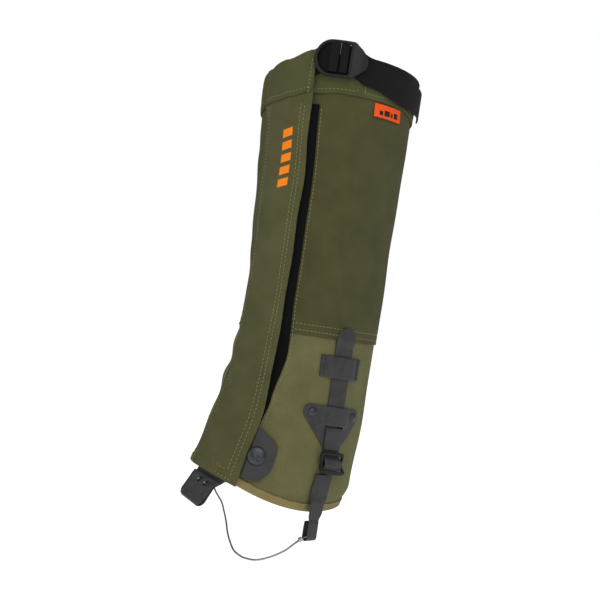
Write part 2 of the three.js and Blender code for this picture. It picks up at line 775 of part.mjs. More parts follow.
// A loop round the Y axis at the origin: outer and inner radius, and the heights of its top and its opening
function endLoop(outer, inner, top, opening) {
  const ring = new THREE.Shape();
  ring.moveTo(-outer, top);
  ring.lineTo(-outer, 0);
  ring.absarc(0, 0, outer, Math.PI, 2 * Math.PI, false);
  ring.lineTo(outer, top);
  const hole = new THREE.Shape();
  hole.moveTo(-inner, opening);
  hole.lineTo(-inner, 0);
  hole.absarc(0, 0, inner, Math.PI, 2 * Math.PI, false);
  hole.lineTo(inner, opening);
  const body = cut(slab(ring, -LOOP_WIDTH / 2, LOOP_WIDTH / 2, 10), slab(hole, -LOOP_WIDTH, LOOP_WIDTH, 10));
  return bend(body, ([x, z, y]) => [x, y, z]);
}

function strapLeg() {
  const blade = outline([[-22, 28], [-2.5, 28], [-4.4, 10], [-8.6, 0], [-9, -5], [-12.2, -13], [-12.2, -20],
    [-23.8, -20], [-23.8, -14], [-25.4, -8], [-25.4, 0], [-24.8, 12]]);
  const flat = bend(refine(slab(blade, 0, STRAP_THICK), 6), ([y, z, t]) => {
    const { bf, cy } = sectionAt(z);
    const near = surface(Math.acos(Math.min(1, (cy - y) / bf)), Math.max(z, 8), 0)[0];
    const reach = lerp(near + 1.7, 64.6, smooth(14, 2, z));
    return [lerp(LOOP_X + 2.15, reach, smooth(-16, 4, z)) + t, y, z];
  });
  const loop = endLoop(3.5, 2.3, 15, 7.5).translate(LOOP_X, LOOP_Y, LOOP_Z);
  return join(flat, loop);
}

// ---- medial anchor of the cable ----

const MEDIAL_PHI = -87 * DEG;
const MEDIAL_LOOP_X = -66.1;
const MEDIAL_LOOP_Y = -12;
const MEDIAL_LOOP_Z = -4;
const MEDIAL_RIVET_S = 12.5;
const MEDIAL_RIVET_Z = 52;

function medialPatch() {
  const shape = roundedOutline([[6, 30, 3], [14, 53, 6], [-14, 53, 6], [-6, 30, 3]]);
  return onTube(slab(shape, 0, 1.3, 5), MEDIAL_PHI, 10);
}

function medialRivet(side, outer) {
  const phi = walk(MEDIAL_PHI, side * MEDIAL_RIVET_S, MEDIAL_RIVET_Z);
  return rivet({ phi, z: MEDIAL_RIVET_Z }, outer);
}

// The band hangs clear of the hem tape and ends in a loop
function medialLoop() {
  const line = [[40, 0], [24, 0], [14, 0.7], [7, 0.7], [5, 0.7]];
  const outer = line.map(([z, t]) => [surface(MEDIAL_PHI, Math.max(z, 12), 2.3 + t)[0], z]);
  const inner = line.map(([z, t]) => [surface(MEDIAL_PHI, Math.max(z, 12), 1.6 + t)[0], z]).reverse();
  const band = slab(outline([...outer, ...inner]), -LOOP_WIDTH / 2, LOOP_WIDTH / 2);
  const upright = bend(band, ([x, z, y]) => [x, y + MEDIAL_LOOP_Y, z]);
  const loop = endLoop(4.2, 3, 11, 5.5).translate(MEDIAL_LOOP_X, MEDIAL_LOOP_Y, MEDIAL_LOOP_Z);
  return join(upright, loop);
}

// ---- cable under the boot ----

const CABLE_R = 0.9;
const CABLE_LINE = [[62.5, -10, -27], [62.5, -16, -27], [62.5, -21.5, -27], [61.5, -27, -29], [57, -30.5, -34.5],
  [49.3, -33, -42.3], [36.3, -36, -51], [20.3, -37, -58.2], [5.8, -37, -60.6], [-3.7, -36, -60.6],
  [-15.1, -34, -58.4], [-31.4, -28, -50], [-44, -21.5, -41], [-49.5, -21, -33], [-54, -22.5, -24],
  [-60, -26.5, -15.5], [-65, -26.5, -8.5], [-66.6, -21, -4.6], [-66.6, -15, -4], [-66.6, -7, -4]];

function cablePath() {
  return new THREE.CatmullRomCurve3(CABLE_LINE.map((p) => new THREE.Vector3(...p)), false, 'centripetal');
}

function cable() {
  return tube(CABLE_LINE, CABLE_R, 8, 72);
}

// A crimped sleeve round the cable, centred where the cable passes the given y
function ferrule(y, first) {
  const path = cablePath();
  let u = first ? 0 : 1;
  while (path.getPointAt(u).y > y) u += first ? 0.001 : -0.001;
  const sleeve = slab(withHoles(disc(0, 0, 2.1), disc(0, 0, CABLE_R + 0.6)), -1.7, 1.7, 8);
  return aim(bend(sleeve, (p) => p), path.getPointAt(u), path.getTangentAt(u));
}

// ---- cuff strap and buckle ----

const WEB_IN = CUFF_OUT + GAP;
const WEB_LOW = WEB_MID_Z - WEB_WIDTH / 2;
const WEB_HIGH = WEB_MID_Z + WEB_WIDTH / 2;
const SPLIT_S = 7.5;
const TURN_END = SPLIT_S - 0.7;
const TAIL_IN = WEB_IN + WEB_THICK + 0.35;

// How far the strap stands above its level at a distance round: it rises to pass through the buckle
function webRise(s) {
  return WEB_RISE * smooth(-28, -16, s) * smooth(28, 9, s);
}

function cuffPoint([s, t, z]) {
  return surface(BUCKLE_PHI + s / CUFF_REACH, z, t);
}

// A shape in (distance round, outward), standing over the strap's width, bent round the cuff
function strapRound(shape, cell) {
  return bend(refine(slab(shape, WEB_LOW, WEB_HIGH), cell), ([s, t, z]) => cuffPoint([s, t, z + webRise(s)]));
}

function fixedWebbing() {
  const band = outline([[-30, WEB_IN], [-2.8, WEB_IN], [-2.2, WEB_IN + 1], [-2.2, 10.6], [-2.9, 11.2],
    [-8.2, 11.2], [-9.2, 10.6], [-15, WEB_IN + 1.3], [-22, WEB_IN + 1.2], [-30, WEB_IN + 1.2]]);
  return strapRound(withHoles(band, outline([[-9.8, 6.1], [-3.4, 6.1], [-3.4, 10], [-8.1, 10]])), 10);
}

function webbingTurn() {
  const outer = outline([[TURN_END, WEB_IN], [-0.6, WEB_IN], [-1.1, WEB_IN + 1], [-1.1, 10.8], [-0.2, 11.4],
    [4.6, 11.4], [5.6, 10.6], [5.8, 6.8], [TURN_END, 6.2], [TURN_END, 4.9], [6.2, 4.95], [4.6, 6.2],
    [4.4, 10.2], [0.1, 10.2], [0.1, 4.75], [TURN_END, 4.6]]);
  return strapRound(outer, 10);
}

// A strap lying round the cuff between two distances, at an outward level and height offset for each distance
function arcStrip(s0, s1, inner, drop, cols) {
  return sheet(cols, 3, (u, v) => {
    const s = lerp(s0, s1, u);
    const t = inner(s);
    const z = lerp(WEB_LOW, WEB_HIGH, v) + webRise(s) - drop(s);
    return { phi: BUCKLE_PHI + s / CUFF_REACH, z, lo: t, hi: t + WEB_THICK };
  });
}

function strapWebbing() {
  return arcStrip(SPLIT_S + 0.1, 180, () => WEB_IN, () => 0, 30);
}

function webbingTail() {
  const lift = (s) => TAIL_IN + 1.5 * smooth(90, 128, s);
  const droop = (s) => 7.5 * smooth(22, 70, s);
  return arcStrip(SPLIT_S + 0.1, 128, lift, droop, 24);
}

function topBuckle() {
  const z = WEB_MID_Z + WEB_RISE;
  const frame = outline([[-21.2, z - 6], [-20.2, z - 11], [-17.5, z - 14.8], [-13.5, z - 16.4], [7, z - 16.4],
    [10, z - 15.4], [16.5, z - 10.4], [21.6, z - 4.6], [22, z], [21.6, z + 4.6], [16.5, z + 10.4], [10, z + 15.4],
    [7, z + 16.2], [-13.5, z + 16.2], [-17.5, z + 14.6], [-20.2, z + 11], [-21.2, z + 6]]);
  const left = outline([[-17.4, z - 7], [-16, z - 12], [-13.5, z - 14.2], [-7.2, z - 14.2], [-7.2, z + 13.8],
    [-14, z + 13.8], [-16.2, z + 11], [-17.4, z + 6]]);
  const middle = outline(corners(-4.6, z - 14.2, 1.2, z + 13.8));
  const right = outline(corners(3.6, z - 14.2, 7.6, z + 13.8));
  const windows = [left, middle, right].map((shape) => slab(shape, 6, 10));
  const plate = cut(slab(frame, 6.6, 9.6), ...windows);
  return bend(refine(plate, 8), ([s, height, t]) => {
    const rise = 1.2 * smooth(-12.5, -18, s) + 1.4 * smooth(9, 14, s) - 1.2 * smooth(15, 22, s);
    return cuffPoint([s, t + rise, height]);
  });
}

// ---- assembly ----

function material(colour, rough = 0.85, metal = 0) {
  return new THREE.MeshStandardMaterial({ color: colour, roughness: rough, metalness: metal });
}

const group = new THREE.Group();
group.name = 'gaiter';

function add(name, geometry, mat) {
  const mesh = new THREE.Mesh(geometry, mat);
  mesh.name = name;
  group.add(mesh);
}

const C = COLOURS;
add('upper_panel', upperPanel(), material(C.olive));
add('lower_panel', lowerPanel(), material(C.oliveLow));
add('top_cuff', topCuff(), material(C.cuff));
add('hem_binding', hemBinding(), material(C.tan));
add('loop_tape', loopTape(), material(C.black, 1));
add('label', label(), material(C.label));
add('front_flap', frontFlap(), material(C.flap));
add('hook_tape', hookTape(), material(C.black, 1));
add('flap_cuff', flapCuff(), material(C.cuff));
add('snap_tab', snapTab(), material(C.rubber, 0.6));
add('snap_tab_base', snapTabBase(), material(C.rubber, 0.6));
add('snap_cap', snapCap(), material(C.gunmetal, 0.35, 1));
add('snap_socket', snapSocket(), material(C.gunmetal, 0.35, 1));
add('snap_stud', snapStud(), material(C.gunmetal, 0.35, 1));
add('snap_post', snapPost(), material(C.gunmetal, 0.35, 1));
add('lace_tab', laceTab(), material(C.rubber, 0.6));
add('lace_hook', laceHook(), material(C.steel, 0.3, 1));
add('instep_patch', instepPatch(), material(C.rubber, 0.6));
add('instep_rivet_front', instepRivet(-1, true), material(C.gunmetal, 0.35, 1));
add('instep_rivet_back', instepRivet(1, true), material(C.gunmetal, 0.35, 1));
add('instep_burr_front', instepRivet(-1, false), material(C.gunmetal, 0.35, 1));
add('instep_burr_back', instepRivet(1, false), material(C.gunmetal, 0.35, 1));
add('strap_tail', strapTail(), material(C.rubber, 0.6));
add('strap_keeper', keeper(), material(C.rubber, 0.6));
add('strap_over_patch', strapOverPatch(), material(C.rubber, 0.6));
add('strap_in_buckle', strapInBuckle(), material(C.rubber, 0.6));
add('instep_buckle', instepBuckle(), material(C.plastic, 0.4));
add('tongue_loop', tongueLoop(), material(C.rubber, 0.6));
add('strap_leg', strapLeg(), material(C.rubber, 0.6));
add('medial_patch', medialPatch(), material(C.rubber, 0.6));
add('medial_rivet_front', medialRivet(1, true), material(C.gunmetal, 0.35, 1));
add('medial_rivet_back', medialRivet(-1, true), material(C.gunmetal, 0.35, 1));
add('medial_burr_front', medialRivet(1, false), material(C.gunmetal, 0.35, 1));
add('medial_burr_back', medialRivet(-1, false), material(C.gunmetal, 0.35, 1));
add('medial_loop', medialLoop(), material(C.rubber, 0.6));
add('cable', cable(), material(C.steel, 0.3, 1));
add('ferrule_lateral', ferrule(-27.2, true), material(C.steel, 0.3, 1));
add('ferrule_medial', ferrule(-20.8, false), material(C.steel, 0.3, 1));
add('fixed_webbing', fixedWebbing(), material(C.webbing));
add('webbing_turn', webbingTurn(), material(C.webbing));
add('strap_webbing', strapWebbing(), material(C.webbing));
add('webbing_tail', webbingTail(), material(C.webbing));
add('top_buckle', topBuckle(), material(C.plastic, 0.4));

export default group;
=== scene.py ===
import math

import bmesh
import bpy
import numpy as np
from mathutils import Matrix, Vector


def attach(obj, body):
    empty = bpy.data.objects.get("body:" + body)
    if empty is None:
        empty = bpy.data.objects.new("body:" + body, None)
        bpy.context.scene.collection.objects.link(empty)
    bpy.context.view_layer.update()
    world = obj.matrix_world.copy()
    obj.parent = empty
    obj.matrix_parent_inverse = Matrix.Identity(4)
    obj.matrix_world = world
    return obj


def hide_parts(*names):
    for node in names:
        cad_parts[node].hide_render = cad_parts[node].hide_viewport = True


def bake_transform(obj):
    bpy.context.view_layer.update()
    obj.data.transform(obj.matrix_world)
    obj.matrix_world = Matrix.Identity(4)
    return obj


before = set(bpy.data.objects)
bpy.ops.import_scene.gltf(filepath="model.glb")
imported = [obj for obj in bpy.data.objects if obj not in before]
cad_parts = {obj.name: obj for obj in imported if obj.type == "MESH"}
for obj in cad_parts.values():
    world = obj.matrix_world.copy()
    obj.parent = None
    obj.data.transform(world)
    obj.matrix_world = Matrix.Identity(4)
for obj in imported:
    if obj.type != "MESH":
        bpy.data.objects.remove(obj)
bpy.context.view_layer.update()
MM = 0.001
PI = math.pi


def link(name, data):
    obj = bpy.data.objects.new(name, data)
    bpy.context.scene.collection.objects.link(obj)
    return obj


# ---- camera

AZIMUTH = math.radians(45.5)
ELEVATION = math.radians(-1.8)
ROLL = math.radians(8.65)
DISTANCE = 0.868
TARGET = Vector((-0.00574, -0.00586, 0.1792))

camera_data = bpy.data.cameras.new("camera")
camera_data.lens = 54.97
camera_data.sensor_width = 36
camera = link("camera", camera_data)
back = Vector((math.sin(AZIMUTH) * math.cos(ELEVATION), -math.cos(AZIMUTH) * math.cos(ELEVATION),
               math.sin(ELEVATION)))
camera.location = TARGET + back * DISTANCE
camera.rotation_mode = "QUATERNION"
look_back = (-back).to_track_quat("-Z", "Y").to_matrix().to_4x4()
camera.rotation_quaternion = (look_back @ Matrix.Rotation(ROLL, 4, "Z")).to_quaternion()
bpy.context.scene.camera = camera

# ---- the tube's surface, in mm

# height, half width, front depth, back depth and centre y of the tube's plain shape
SECTIONS = np.array([
    [420, 69.2, 69.6, 69, 0], [358, 69.2, 69.6, 69, 0], [264, 64.6, 65.2, 68.6, 2.4],
    [188, 61.5, 61.7, 69.4, 4.6], [130, 61.3, 68.5, 71.2, 2.8], [72, 61.5, 81.8, 72.7, 0],
    [12, 62.4, 99, 71.7, -4], [-30, 62.4, 104, 71.7, -4.6]], float)
HEM_LOW, HEM_RISE, HEM_PEAK, HEM_SPREAD = -6.5, 31, -10, 100
HEM_TUCK, TUCK_HEIGHT = 7, 15
# distances of the layers' faces from the plain shape
UPPER_OUT, LOWER_IN, LOWER_OUT, CUFF_OUT, FLAP_IN = 1.4, -1.7, -0.35, 3.1, 4.9
SEAM_Z = 148
LATERAL_X, MEDIAL_X = -12, -18
FLAP_SEWN, FLAP_FREE = -24, 27
FLAP_MID, FLAP_HALF = (FLAP_SEWN + FLAP_FREE) / 2, (FLAP_FREE - FLAP_SEWN) / 2
FLAP_T = 1.4
FRONT_SHIFT = [[60, 6.5], [185, -1.8], [310, 3.6]]
CUFF_TOP = [[-180, 396], [-140, 394], [-100, 376], [-40, 373], [-28, 377], [-14, 382], [5, 388], [24, 396],
            [180, 396]]
CUFF_LOW = [[-180, 358], [-100, 352], [-40, 347], [0, 351], [10, 354], [27, 359], [46, 361], [85, 361.6],
            [100, 361.6], [125, 358], [180, 358]]
CUFF_AT, HEM_AT, TOE_AT = 380, 10, 15  # heights at which places round the cuff, the hem and the toe are taken
STRAP_Y = -7
STRAP_TILT = [[30, -0.1], [80, -0.045], [160, 0]]
BUCKLE_PHI = math.radians(43)
SNAP_PHI = math.radians(38.8)
MEDIAL_PHI = math.radians(-87)
LABEL_PHI = math.radians(84.5)
WEB_Z = 383.5
WEB_RISE = 6
STRAP_T = 1.15


def smooth(a, b, v):
    t = np.clip((np.asarray(v, float) - a) / (b - a), 0, 1)
    return t * t * (3 - 2 * t)


def lerp(a, b, t):
    return a + (b - a) * t


def table(rows, v):
    """A smooth step from each (place, value) row to the next."""
    rows = np.array(rows, float)
    v = np.asarray(v, float)
    i = np.clip(np.searchsorted(rows[:, 0], v, "right") - 1, 0, len(rows) - 2)
    return lerp(rows[i, 1], rows[i + 1, 1], smooth(0, 1, (v - rows[i, 0]) / (rows[i + 1, 0] - rows[i, 0])))


def section(z):
    """The plain shape's half width, front and back depth and centre y at a height, on a smooth curve."""
    z = np.asarray(z, float)
    up = SECTIONS[::-1]
    i = np.clip(np.searchsorted(up[:, 0], z, "right") - 1, 0, len(up) - 2)
    p0, p1, p2, p3 = (up[np.clip(i + k, 0, len(up) - 1)] for k in (-1, 0, 1, 2))
    span = p2[..., 0] - p1[..., 0]
    t = (z - p1[..., 0]) / span
    out = []
    for k in range(1, 5):
        m1 = (p2[..., k] - p0[..., k]) / (p2[..., 0] - p0[..., 0]) * span
        m2 = (p3[..., k] - p1[..., k]) / (p3[..., 0] - p1[..., 0]) * span
        out.append((2 * t**3 - 3 * t**2 + 1) * p1[..., k] + (t**3 - 2 * t**2 + t) * m1
                   + (3 * t**2 - 2 * t**3) * p2[..., k] + (t**3 - t**2) * m2)
    return out


def wrap(phi):
    return (np.degrees(phi) + 180) % 360 - 180


def hill(v, middle, spread):
    return np.exp(-((v - middle) / spread) ** 2)


def fold(phi, z):
    """How far the empty fabric stands out from the plain tube, in mm: soft waves, still near the fittings."""
    d = wrap(phi)
    turn = np.radians(d)
    wave = 0.55 * np.sin(z / 23 + 2.1 * np.sin(turn * 2 + 0.7)) * np.sin(turn * 3 + z / 61)
    wave += 0.4 * np.sin(z / 13.5 + turn * 5) * np.sin(turn * 2 - z / 47 + 1)
    ripple = 1.5 * hill(d, -52, 34) * np.sin(z / 6.2 + 0.05 * d + 1.1 * np.sin(z / 17)) * smooth(20, 60, z)
    ripple = ripple * (1 - smooth(120, 190, z) * 0.8)
    calm = 1 - 0.95 * hill(d, 87, 34) * (1 - smooth(150, 185, z))
    calm = calm * (1 - hill(d, 35, 16) * hill(z, 35, 26)) * (1 - 0.95 * hill(d, -87, 22) * hill(z, 30, 32))
    calm = calm * (1 - 0.9 * smooth(325, 352, z)) * smooth(-2, 14, z)
    return (wave + ripple) * calm


def surface(phi, z, off, folds=True):
    """The point at an angle round the tube, a height and a distance out from its plain shape."""
    phi, z, off = np.broadcast_arrays(np.asarray(phi, float), np.asarray(z, float), np.asarray(off, float))
    a, bf, bb, cy = section(z)
    c, s = np.cos(phi), np.sin(phi)
    b = np.where(c > 0, bf, bb)
    n = np.hypot(b * s, a * c)
    side = smooth(45, 120, np.abs(wrap(phi)))
    tuck = HEM_TUCK * side * (1 - smooth(-6, TUCK_HEIGHT, z))
    d = off - tuck + (fold(phi, z) if folds else 0)
    return np.stack([a * s + d * b * s / n, cy - b * c - d * a * c / n, z], -1)


def walk(phi0, s, z):
    """The angle that lies a distance s round the tube from phi0."""
    a, bf, bb, _ = section(z)
    phi = np.broadcast_to(np.asarray(phi0, float), np.broadcast(np.asarray(s), np.asarray(z)).shape).copy()
    for _ in range(8):
        b = np.where(np.cos(phi) > 0, bf, bb)
        phi = phi + np.asarray(s) / 8 / np.hypot(a * np.cos(phi), b * np.sin(phi))
    return phi


def phi_at_x(x, z):
    return np.arcsin((np.asarray(x, float) + table(FRONT_SHIFT, z)) / section(z)[0])


def hem_z(phi):
    t = np.minimum(1, np.abs(wrap(phi) - HEM_PEAK) / HEM_SPREAD)
    return HEM_LOW + HEM_RISE * (0.5 + 0.5 * np.cos(PI * t))


def cuff_top(phi):
    return table(CUFF_TOP, wrap(phi))


def cuff_low(phi):
    return table(CUFF_LOW, wrap(phi))


def body_out(z):
    return lerp(LOWER_OUT, UPPER_OUT, smooth(SEAM_Z - 7, SEAM_Z - 1, z))


def body_phi(u, z):
    return lerp(phi_at_x(LATERAL_X, z), 2 * PI + phi_at_x(MEDIAL_X, z), u)


def on_tube(phi0):
    """A map from (distance round, height, outward) to the row frame."""
    return lambda s, z, t: surface(walk(phi0, s, z), z, t)


def strap_place(s, z, t):
    """The instep strap's own map, which leans a little towards the front as it goes down."""
    height = z + s * table(STRAP_TILT, z)
    _, bf, _, cy = section(height)
    return surface(walk(np.arccos((cy - STRAP_Y) / bf), s, height), height, t)


def down_strap(z, s, t):
    return strap_place(s, z, t)


def on_cuff(s, z, t):
    return surface(BUCKLE_PHI + np.asarray(s) / 76, z, t)


# ---- meshes

def piece(name, verts, faces, material, uv=None):
    """A named object from points in mm and faces, with the UV layer "cloth" where uv gives its values."""
    mesh = bpy.data.meshes.new(name)
    mesh.from_pydata((np.asarray(verts) * MM).tolist(), [], [list(map(int, f)) for f in faces])
    if uv is not None:
        layer = mesh.uv_layers.new(name="cloth")
        index = np.zeros(len(mesh.loops), np.int32)
        mesh.loops.foreach_get("vertex_index", index)
        layer.data.foreach_set("uv", (np.asarray(uv)[index] * MM).astype(np.float32).ravel())
    mesh.polygons.foreach_set("use_smooth", [True] * len(mesh.polygons))
    mesh.materials.append(material)
    mesh.update()
    work = bmesh.new()
    work.from_mesh(mesh)
    bmesh.ops.recalc_face_normals(work, faces=work.faces)
    if work.calc_volume(signed=True) < 0:
        bmesh.ops.reverse_faces(work, faces=work.faces)
    work.to_mesh(mesh)
    work.free()
    return link(name, mesh)


def tube_faces(rings, n, close=False):
    """Faces that join rings of n points, closed into a ring or capped at both ends."""
    i = np.arange(n)
    faces = []
    for k in range(rings if close else rings - 1):
        a, b = k * n, (k + 1) % rings * n
        faces += np.stack([a + i, a + (i + 1) % n, b + (i + 1) % n, b + i], 1).tolist()
    if not close:
        faces += [list(range(n))[::-1], list(range((rings - 1) * n, rings * n))]
    return faces


def loft(name, rings, material, uv=None, close=False):
    """A closed body from rings of points, shape (rings, points, 3)."""
    rings = np.asarray(rings, float)
    flat = None if uv is None else np.asarray(uv, float).reshape(-1, 2)
    return piece(name, rings.reshape(-1, 3), tube_faces(*rings.shape[:2], close), material, flat)


def cloth(name, cols, rows, at, material, round_edge):
    """A closed sheet: at(u, v) gives phi, z, inner and outer offsets as arrays. Its rims are rounded."""
    u, v = np.meshgrid(np.linspace(0, 1, cols + 1), np.asarray(rows, float), indexing="ij")
    phi, z, lo, hi, uv = at(u, v)
    outer, inner = surface(phi, z, hi), surface(phi, z, lo)
    mid = (outer + inner) / 2
    nu, nv = u.shape
    top = np.arange(nu * nv).reshape(nu, nv)
    bottom = top + nu * nv
    cells = [np.stack([ids[:-1, :-1], ids[1:, :-1], ids[1:, 1:], ids[:-1, 1:]], -1).reshape(-1, 4)
             for ids in (top, bottom)]
    faces = [cells[0], cells[1][:, [0, 3, 2, 1]]]
    edge = ([(i, 0) for i in range(nu)] + [(nu - 1, j) for j in range(1, nv)]
            + [(i, nv - 1) for i in range(nu - 2, -1, -1)] + [(0, j) for j in range(nv - 2, 0, -1)])
    rim = []
    for i, j in edge:
        out = mid[i, j] - mid[min(max(i, 1), nu - 2), min(max(j, 1), nv - 2)]
        rim.append(mid[i, j] + out / max(np.linalg.norm(out), 1e-9) * round_edge)
    verts = [outer.reshape(-1, 3), inner.reshape(-1, 3), np.array(rim)]
    uvs = [uv.reshape(-1, 2), uv.reshape(-1, 2), np.array([uv[i, j] for i, j in edge])]
    start = 2 * nu * nv
    for k, here in enumerate(edge):
        n = (k + 1) % len(edge)
        a, b, c, d = top[here], top[edge[n]], bottom[here], bottom[edge[n]]
        faces.append([[a, start + k, start + n, b], [start + k, c, d, start + n]])
    return piece(name, np.concatenate(verts), np.concatenate(faces), material, np.concatenate(uvs))


def rounded(width, thick, r):
    """A rounded rectangle round the origin: its points across and through, as two rows."""
    w, t = width / 2 - r, thick / 2 - r
    return np.array([(cx + r * math.cos(a), cy + r * math.sin(a))
                     for cx, cy, start in ((w, t, 0), (-w, t, 90), (-w, -t, 180), (w, -t, 270))
                     for a in np.radians(start + 18 * np.arange(6))]).T


def spaced(path):
    """The distance along a path at each of its points."""
    return np.concatenate([[0], np.cumsum(np.linalg.norm(np.diff(path, axis=0), axis=1))])


def steps(path):
    """The unit direction of a path at each of its points."""
    step = np.gradient(path, axis=0)
    return step / np.linalg.norm(step, axis=1)[:, None]


def sideways(step):
    return np.stack([-step[:, 1], step[:, 0]], 1)


def resample(line, count):
    """Points evenly spaced on a smooth curve through the given ones."""
    line = np.asarray(line, float)
    p = np.concatenate([[2 * line[0] - line[1]], line, [2 * line[-1] - line[-2]]])
    fine = []
    for i in range(1, len(p) - 2):
        t = np.linspace(0, 1, 24, endpoint=False)[:, None]
        fine.append(0.5 * (2 * p[i] + (p[i + 1] - p[i - 1]) * t
                           + (2 * p[i - 1] - 5 * p[i] + 4 * p[i + 1] - p[i + 2]) * t**2
                           + (3 * p[i] - p[i - 1] - 3 * p[i + 1] + p[i + 2]) * t**3))
    fine = np.concatenate(fine + [p[-2:-1]])
    d = spaced(fine)
    at = np.linspace(0, d[-1], count)
    return np.stack([np.interp(at, d, fine[:, k]) for k in range(fine.shape[1])], 1)


def ribbon(name, line, width, thick, place, material, count, across=14, round_tip=0.0):
    """A strap: line is its middle in (along, outward), and place(along, across, outward) puts it on the tube.
    Its far end narrows in a half round over the length round_tip."""
    path = resample(line, count)
    if round_tip:
        d = spaced(path)
        tip = d[-1] - round_tip * (1 - np.cos(np.linspace(0, PI / 2, 12)))
        at = np.concatenate([np.linspace(0, d[-1] - round_tip, count - 12, endpoint=False), tip[::-1]])
        path = np.stack([np.interp(at, d, path[:, k]) for k in range(2)], 1)
    d = spaced(path)
    bulge = thick / 2
    t = np.concatenate([np.full(across, bulge), [0.35 * thick, 0, -0.35 * thick]])
    t = np.concatenate([t, -t])
    rings, uvs = [], []
    for p, n, at in zip(path, sideways(steps(path)), d):
        half = width / 2
        if d[-1] - at < round_tip:
            half *= math.sqrt(max(0.02, 1 - (1 - (d[-1] - at) / round_tip) ** 2))
        side = half - bulge * np.array([0.3, 0, 0.3])
        s = np.concatenate([np.linspace(-1, 1, across) * (half - bulge), side])
        s = np.concatenate([s, -s])
        rings.append(place(p[0] + n[0] * t, s, p[1] + n[1] * t))
        uvs.append(np.stack([s, np.full(len(s), at)], 1))
    return loft(name, rings, material, uvs)


def evaluated(obj):
    return bpy.data.meshes.new_from_object(obj.evaluated_get(bpy.context.evaluated_depsgraph_get()))


def baked(obj):
    """The points and faces of an object with its modifiers applied. The object itself goes."""
    mesh = evaluated(obj)
    points = np.zeros(len(mesh.vertices) * 3, np.float32)
    mesh.vertices.foreach_get("co", points)
    bpy.data.objects.remove(obj)
    return points.reshape(-1, 3).astype(float), [list(f.vertices) for f in mesh.polygons]


def cut_out(obj, cutter):
    cut = obj.modifiers.new("slot", "BOOLEAN")
    cut.operation = "DIFFERENCE"
    cut.object = cutter
    mesh = evaluated(obj)
    obj.modifiers.clear()
    obj.data = mesh
    bpy.data.objects.remove(cutter)


def carve(name, parts, material, place, voxel=0.4, relax=2):
    """Joins flat bodies, in (distance round, height, outward), into one skin and bends it into place."""
    work = bmesh.new()
    for verts, faces in parts:
        made = [work.verts.new(p) for p in verts]
        for f in faces:
            work.faces.new([made[i] for i in f])
    bmesh.ops.recalc_face_normals(work, faces=work.faces)
    mesh = bpy.data.meshes.new(name)
    work.to_mesh(mesh)
    work.free()
    obj = link(name, mesh)
    remesh = obj.modifiers.new("remesh", "REMESH")
    remesh.mode = "VOXEL"
    remesh.voxel_size = voxel
    relaxed = obj.modifiers.new("relax", "SMOOTH")
    relaxed.factor = 0.5
    relaxed.iterations = relax
    points, faces = baked(obj)
    return piece(name, place(*points.T), faces, material, points[:, :2])


def prism(outline, t0, t1):
    """A flat body over an outline of (x, y) points, between two depths."""
    n = len(outline)
    verts = [(x, y, t0) for x, y in outline] + [(x, y, t1) for x, y in outline]
    faces = [list(range(n))[::-1], list(range(n, 2 * n))]
    faces += [[i, (i + 1) % n, (i + 1) % n + n, i + n] for i in range(n)]
    return verts, faces


def rect(x0, y0, x1, y1, t0, t1):
    return prism([(x0, y0), (x1, y0), (x1, y1), (x0, y1)], t0, t1)


def rod(path, radius, squash=1.0):
    """A round bar along (x, y, t) points, as one closed body."""
    sides = 12
    turn = np.linspace(0, 2 * PI, sides, endpoint=False)[:, None]
    path = np.asarray(path, float)
    verts = []
    for p, step in zip(path, steps(path)):
        across = np.cross(step, (0, 0, 1))
        across /= np.linalg.norm(across)
        up = np.cross(across, step)
        verts += (p + radius * (np.cos(turn) * across + squash * np.sin(turn) * up)).tolist()
    return verts, tube_faces(len(path), sides)


def hull_of(circles, n=28):
    """The outline round several circles (x, y, r)."""
    points = np.array([(cx + r * math.cos(2 * PI * k / n), cy + r * math.sin(2 * PI * k / n))
                       for cx, cy, r in circles for k in range(n)])
    points = points[np.lexsort((points[:, 1], points[:, 0]))]

    def half(seq):
        out = []
        for p in seq:
            while len(out) > 1 and ((out[-1][0] - out[-2][0]) * (p[1] - out[-2][1])
                                    - (out[-1][1] - out[-2][1]) * (p[0] - out[-2][0])) <= 0:
                out.pop()
            out.append(tuple(p))
        return out[:-1]

    return half(points) + half(points[::-1])


def stitches(name, rows, material, pitch=3.5, length=2.5, radius=0.3, sink=0.1):
    """Thread stitches as one mesh: each row is (points, normals) in mm, spaced closely along the seam."""
    sides = 6
    turn = np.linspace(0, 2 * PI, sides, endpoint=False)[:, None]
    profile = [(-1.0, 0.25, -0.5), (-0.8, 0.8, 0.0), (0.0, 1.0, 0.35), (0.8, 0.8, 0.0), (1.0, 0.25, -0.5)]
    verts, faces = [], []
    for points, normals in rows:
        d = spaced(points)
        for at in np.arange(pitch * 0.5, d[-1] - length * 0.5, pitch):
            p, ahead, n = (np.array([np.interp(v, d, line[:, k]) for k in range(3)])
                           for v, line in ((at, points), (at + 0.5, points), (at, normals)))
            n /= np.linalg.norm(n)
            t = (ahead - p) / max(np.linalg.norm(ahead - p), 1e-9)
            b = np.cross(n, t)
            faces += [[len(verts) + i for i in f] for f in tube_faces(len(profile), sides)]
            for along, size, rise in profile:
                c = p + t * along * length / 2 + n * (rise * radius - sink)
                verts += [*(c + size * radius * (np.cos(turn) * b + np.sin(turn) * n))]
    return piece(name, verts, faces, material)


def seam(phi, z, off):
    """Points and outward normals along a line on the tube."""
    points = surface(phi, z, off)
    return points, surface(phi, z, off + 1) - points


def settle(obj, body, node=None):
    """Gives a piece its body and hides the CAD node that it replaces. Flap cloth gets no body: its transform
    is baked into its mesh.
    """
    if body == "flap cloth":
        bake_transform(obj)
    else:
        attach(obj, body)
    if node:
        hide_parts(node)
    return obj


# ---- materials

THREADS = 3.18


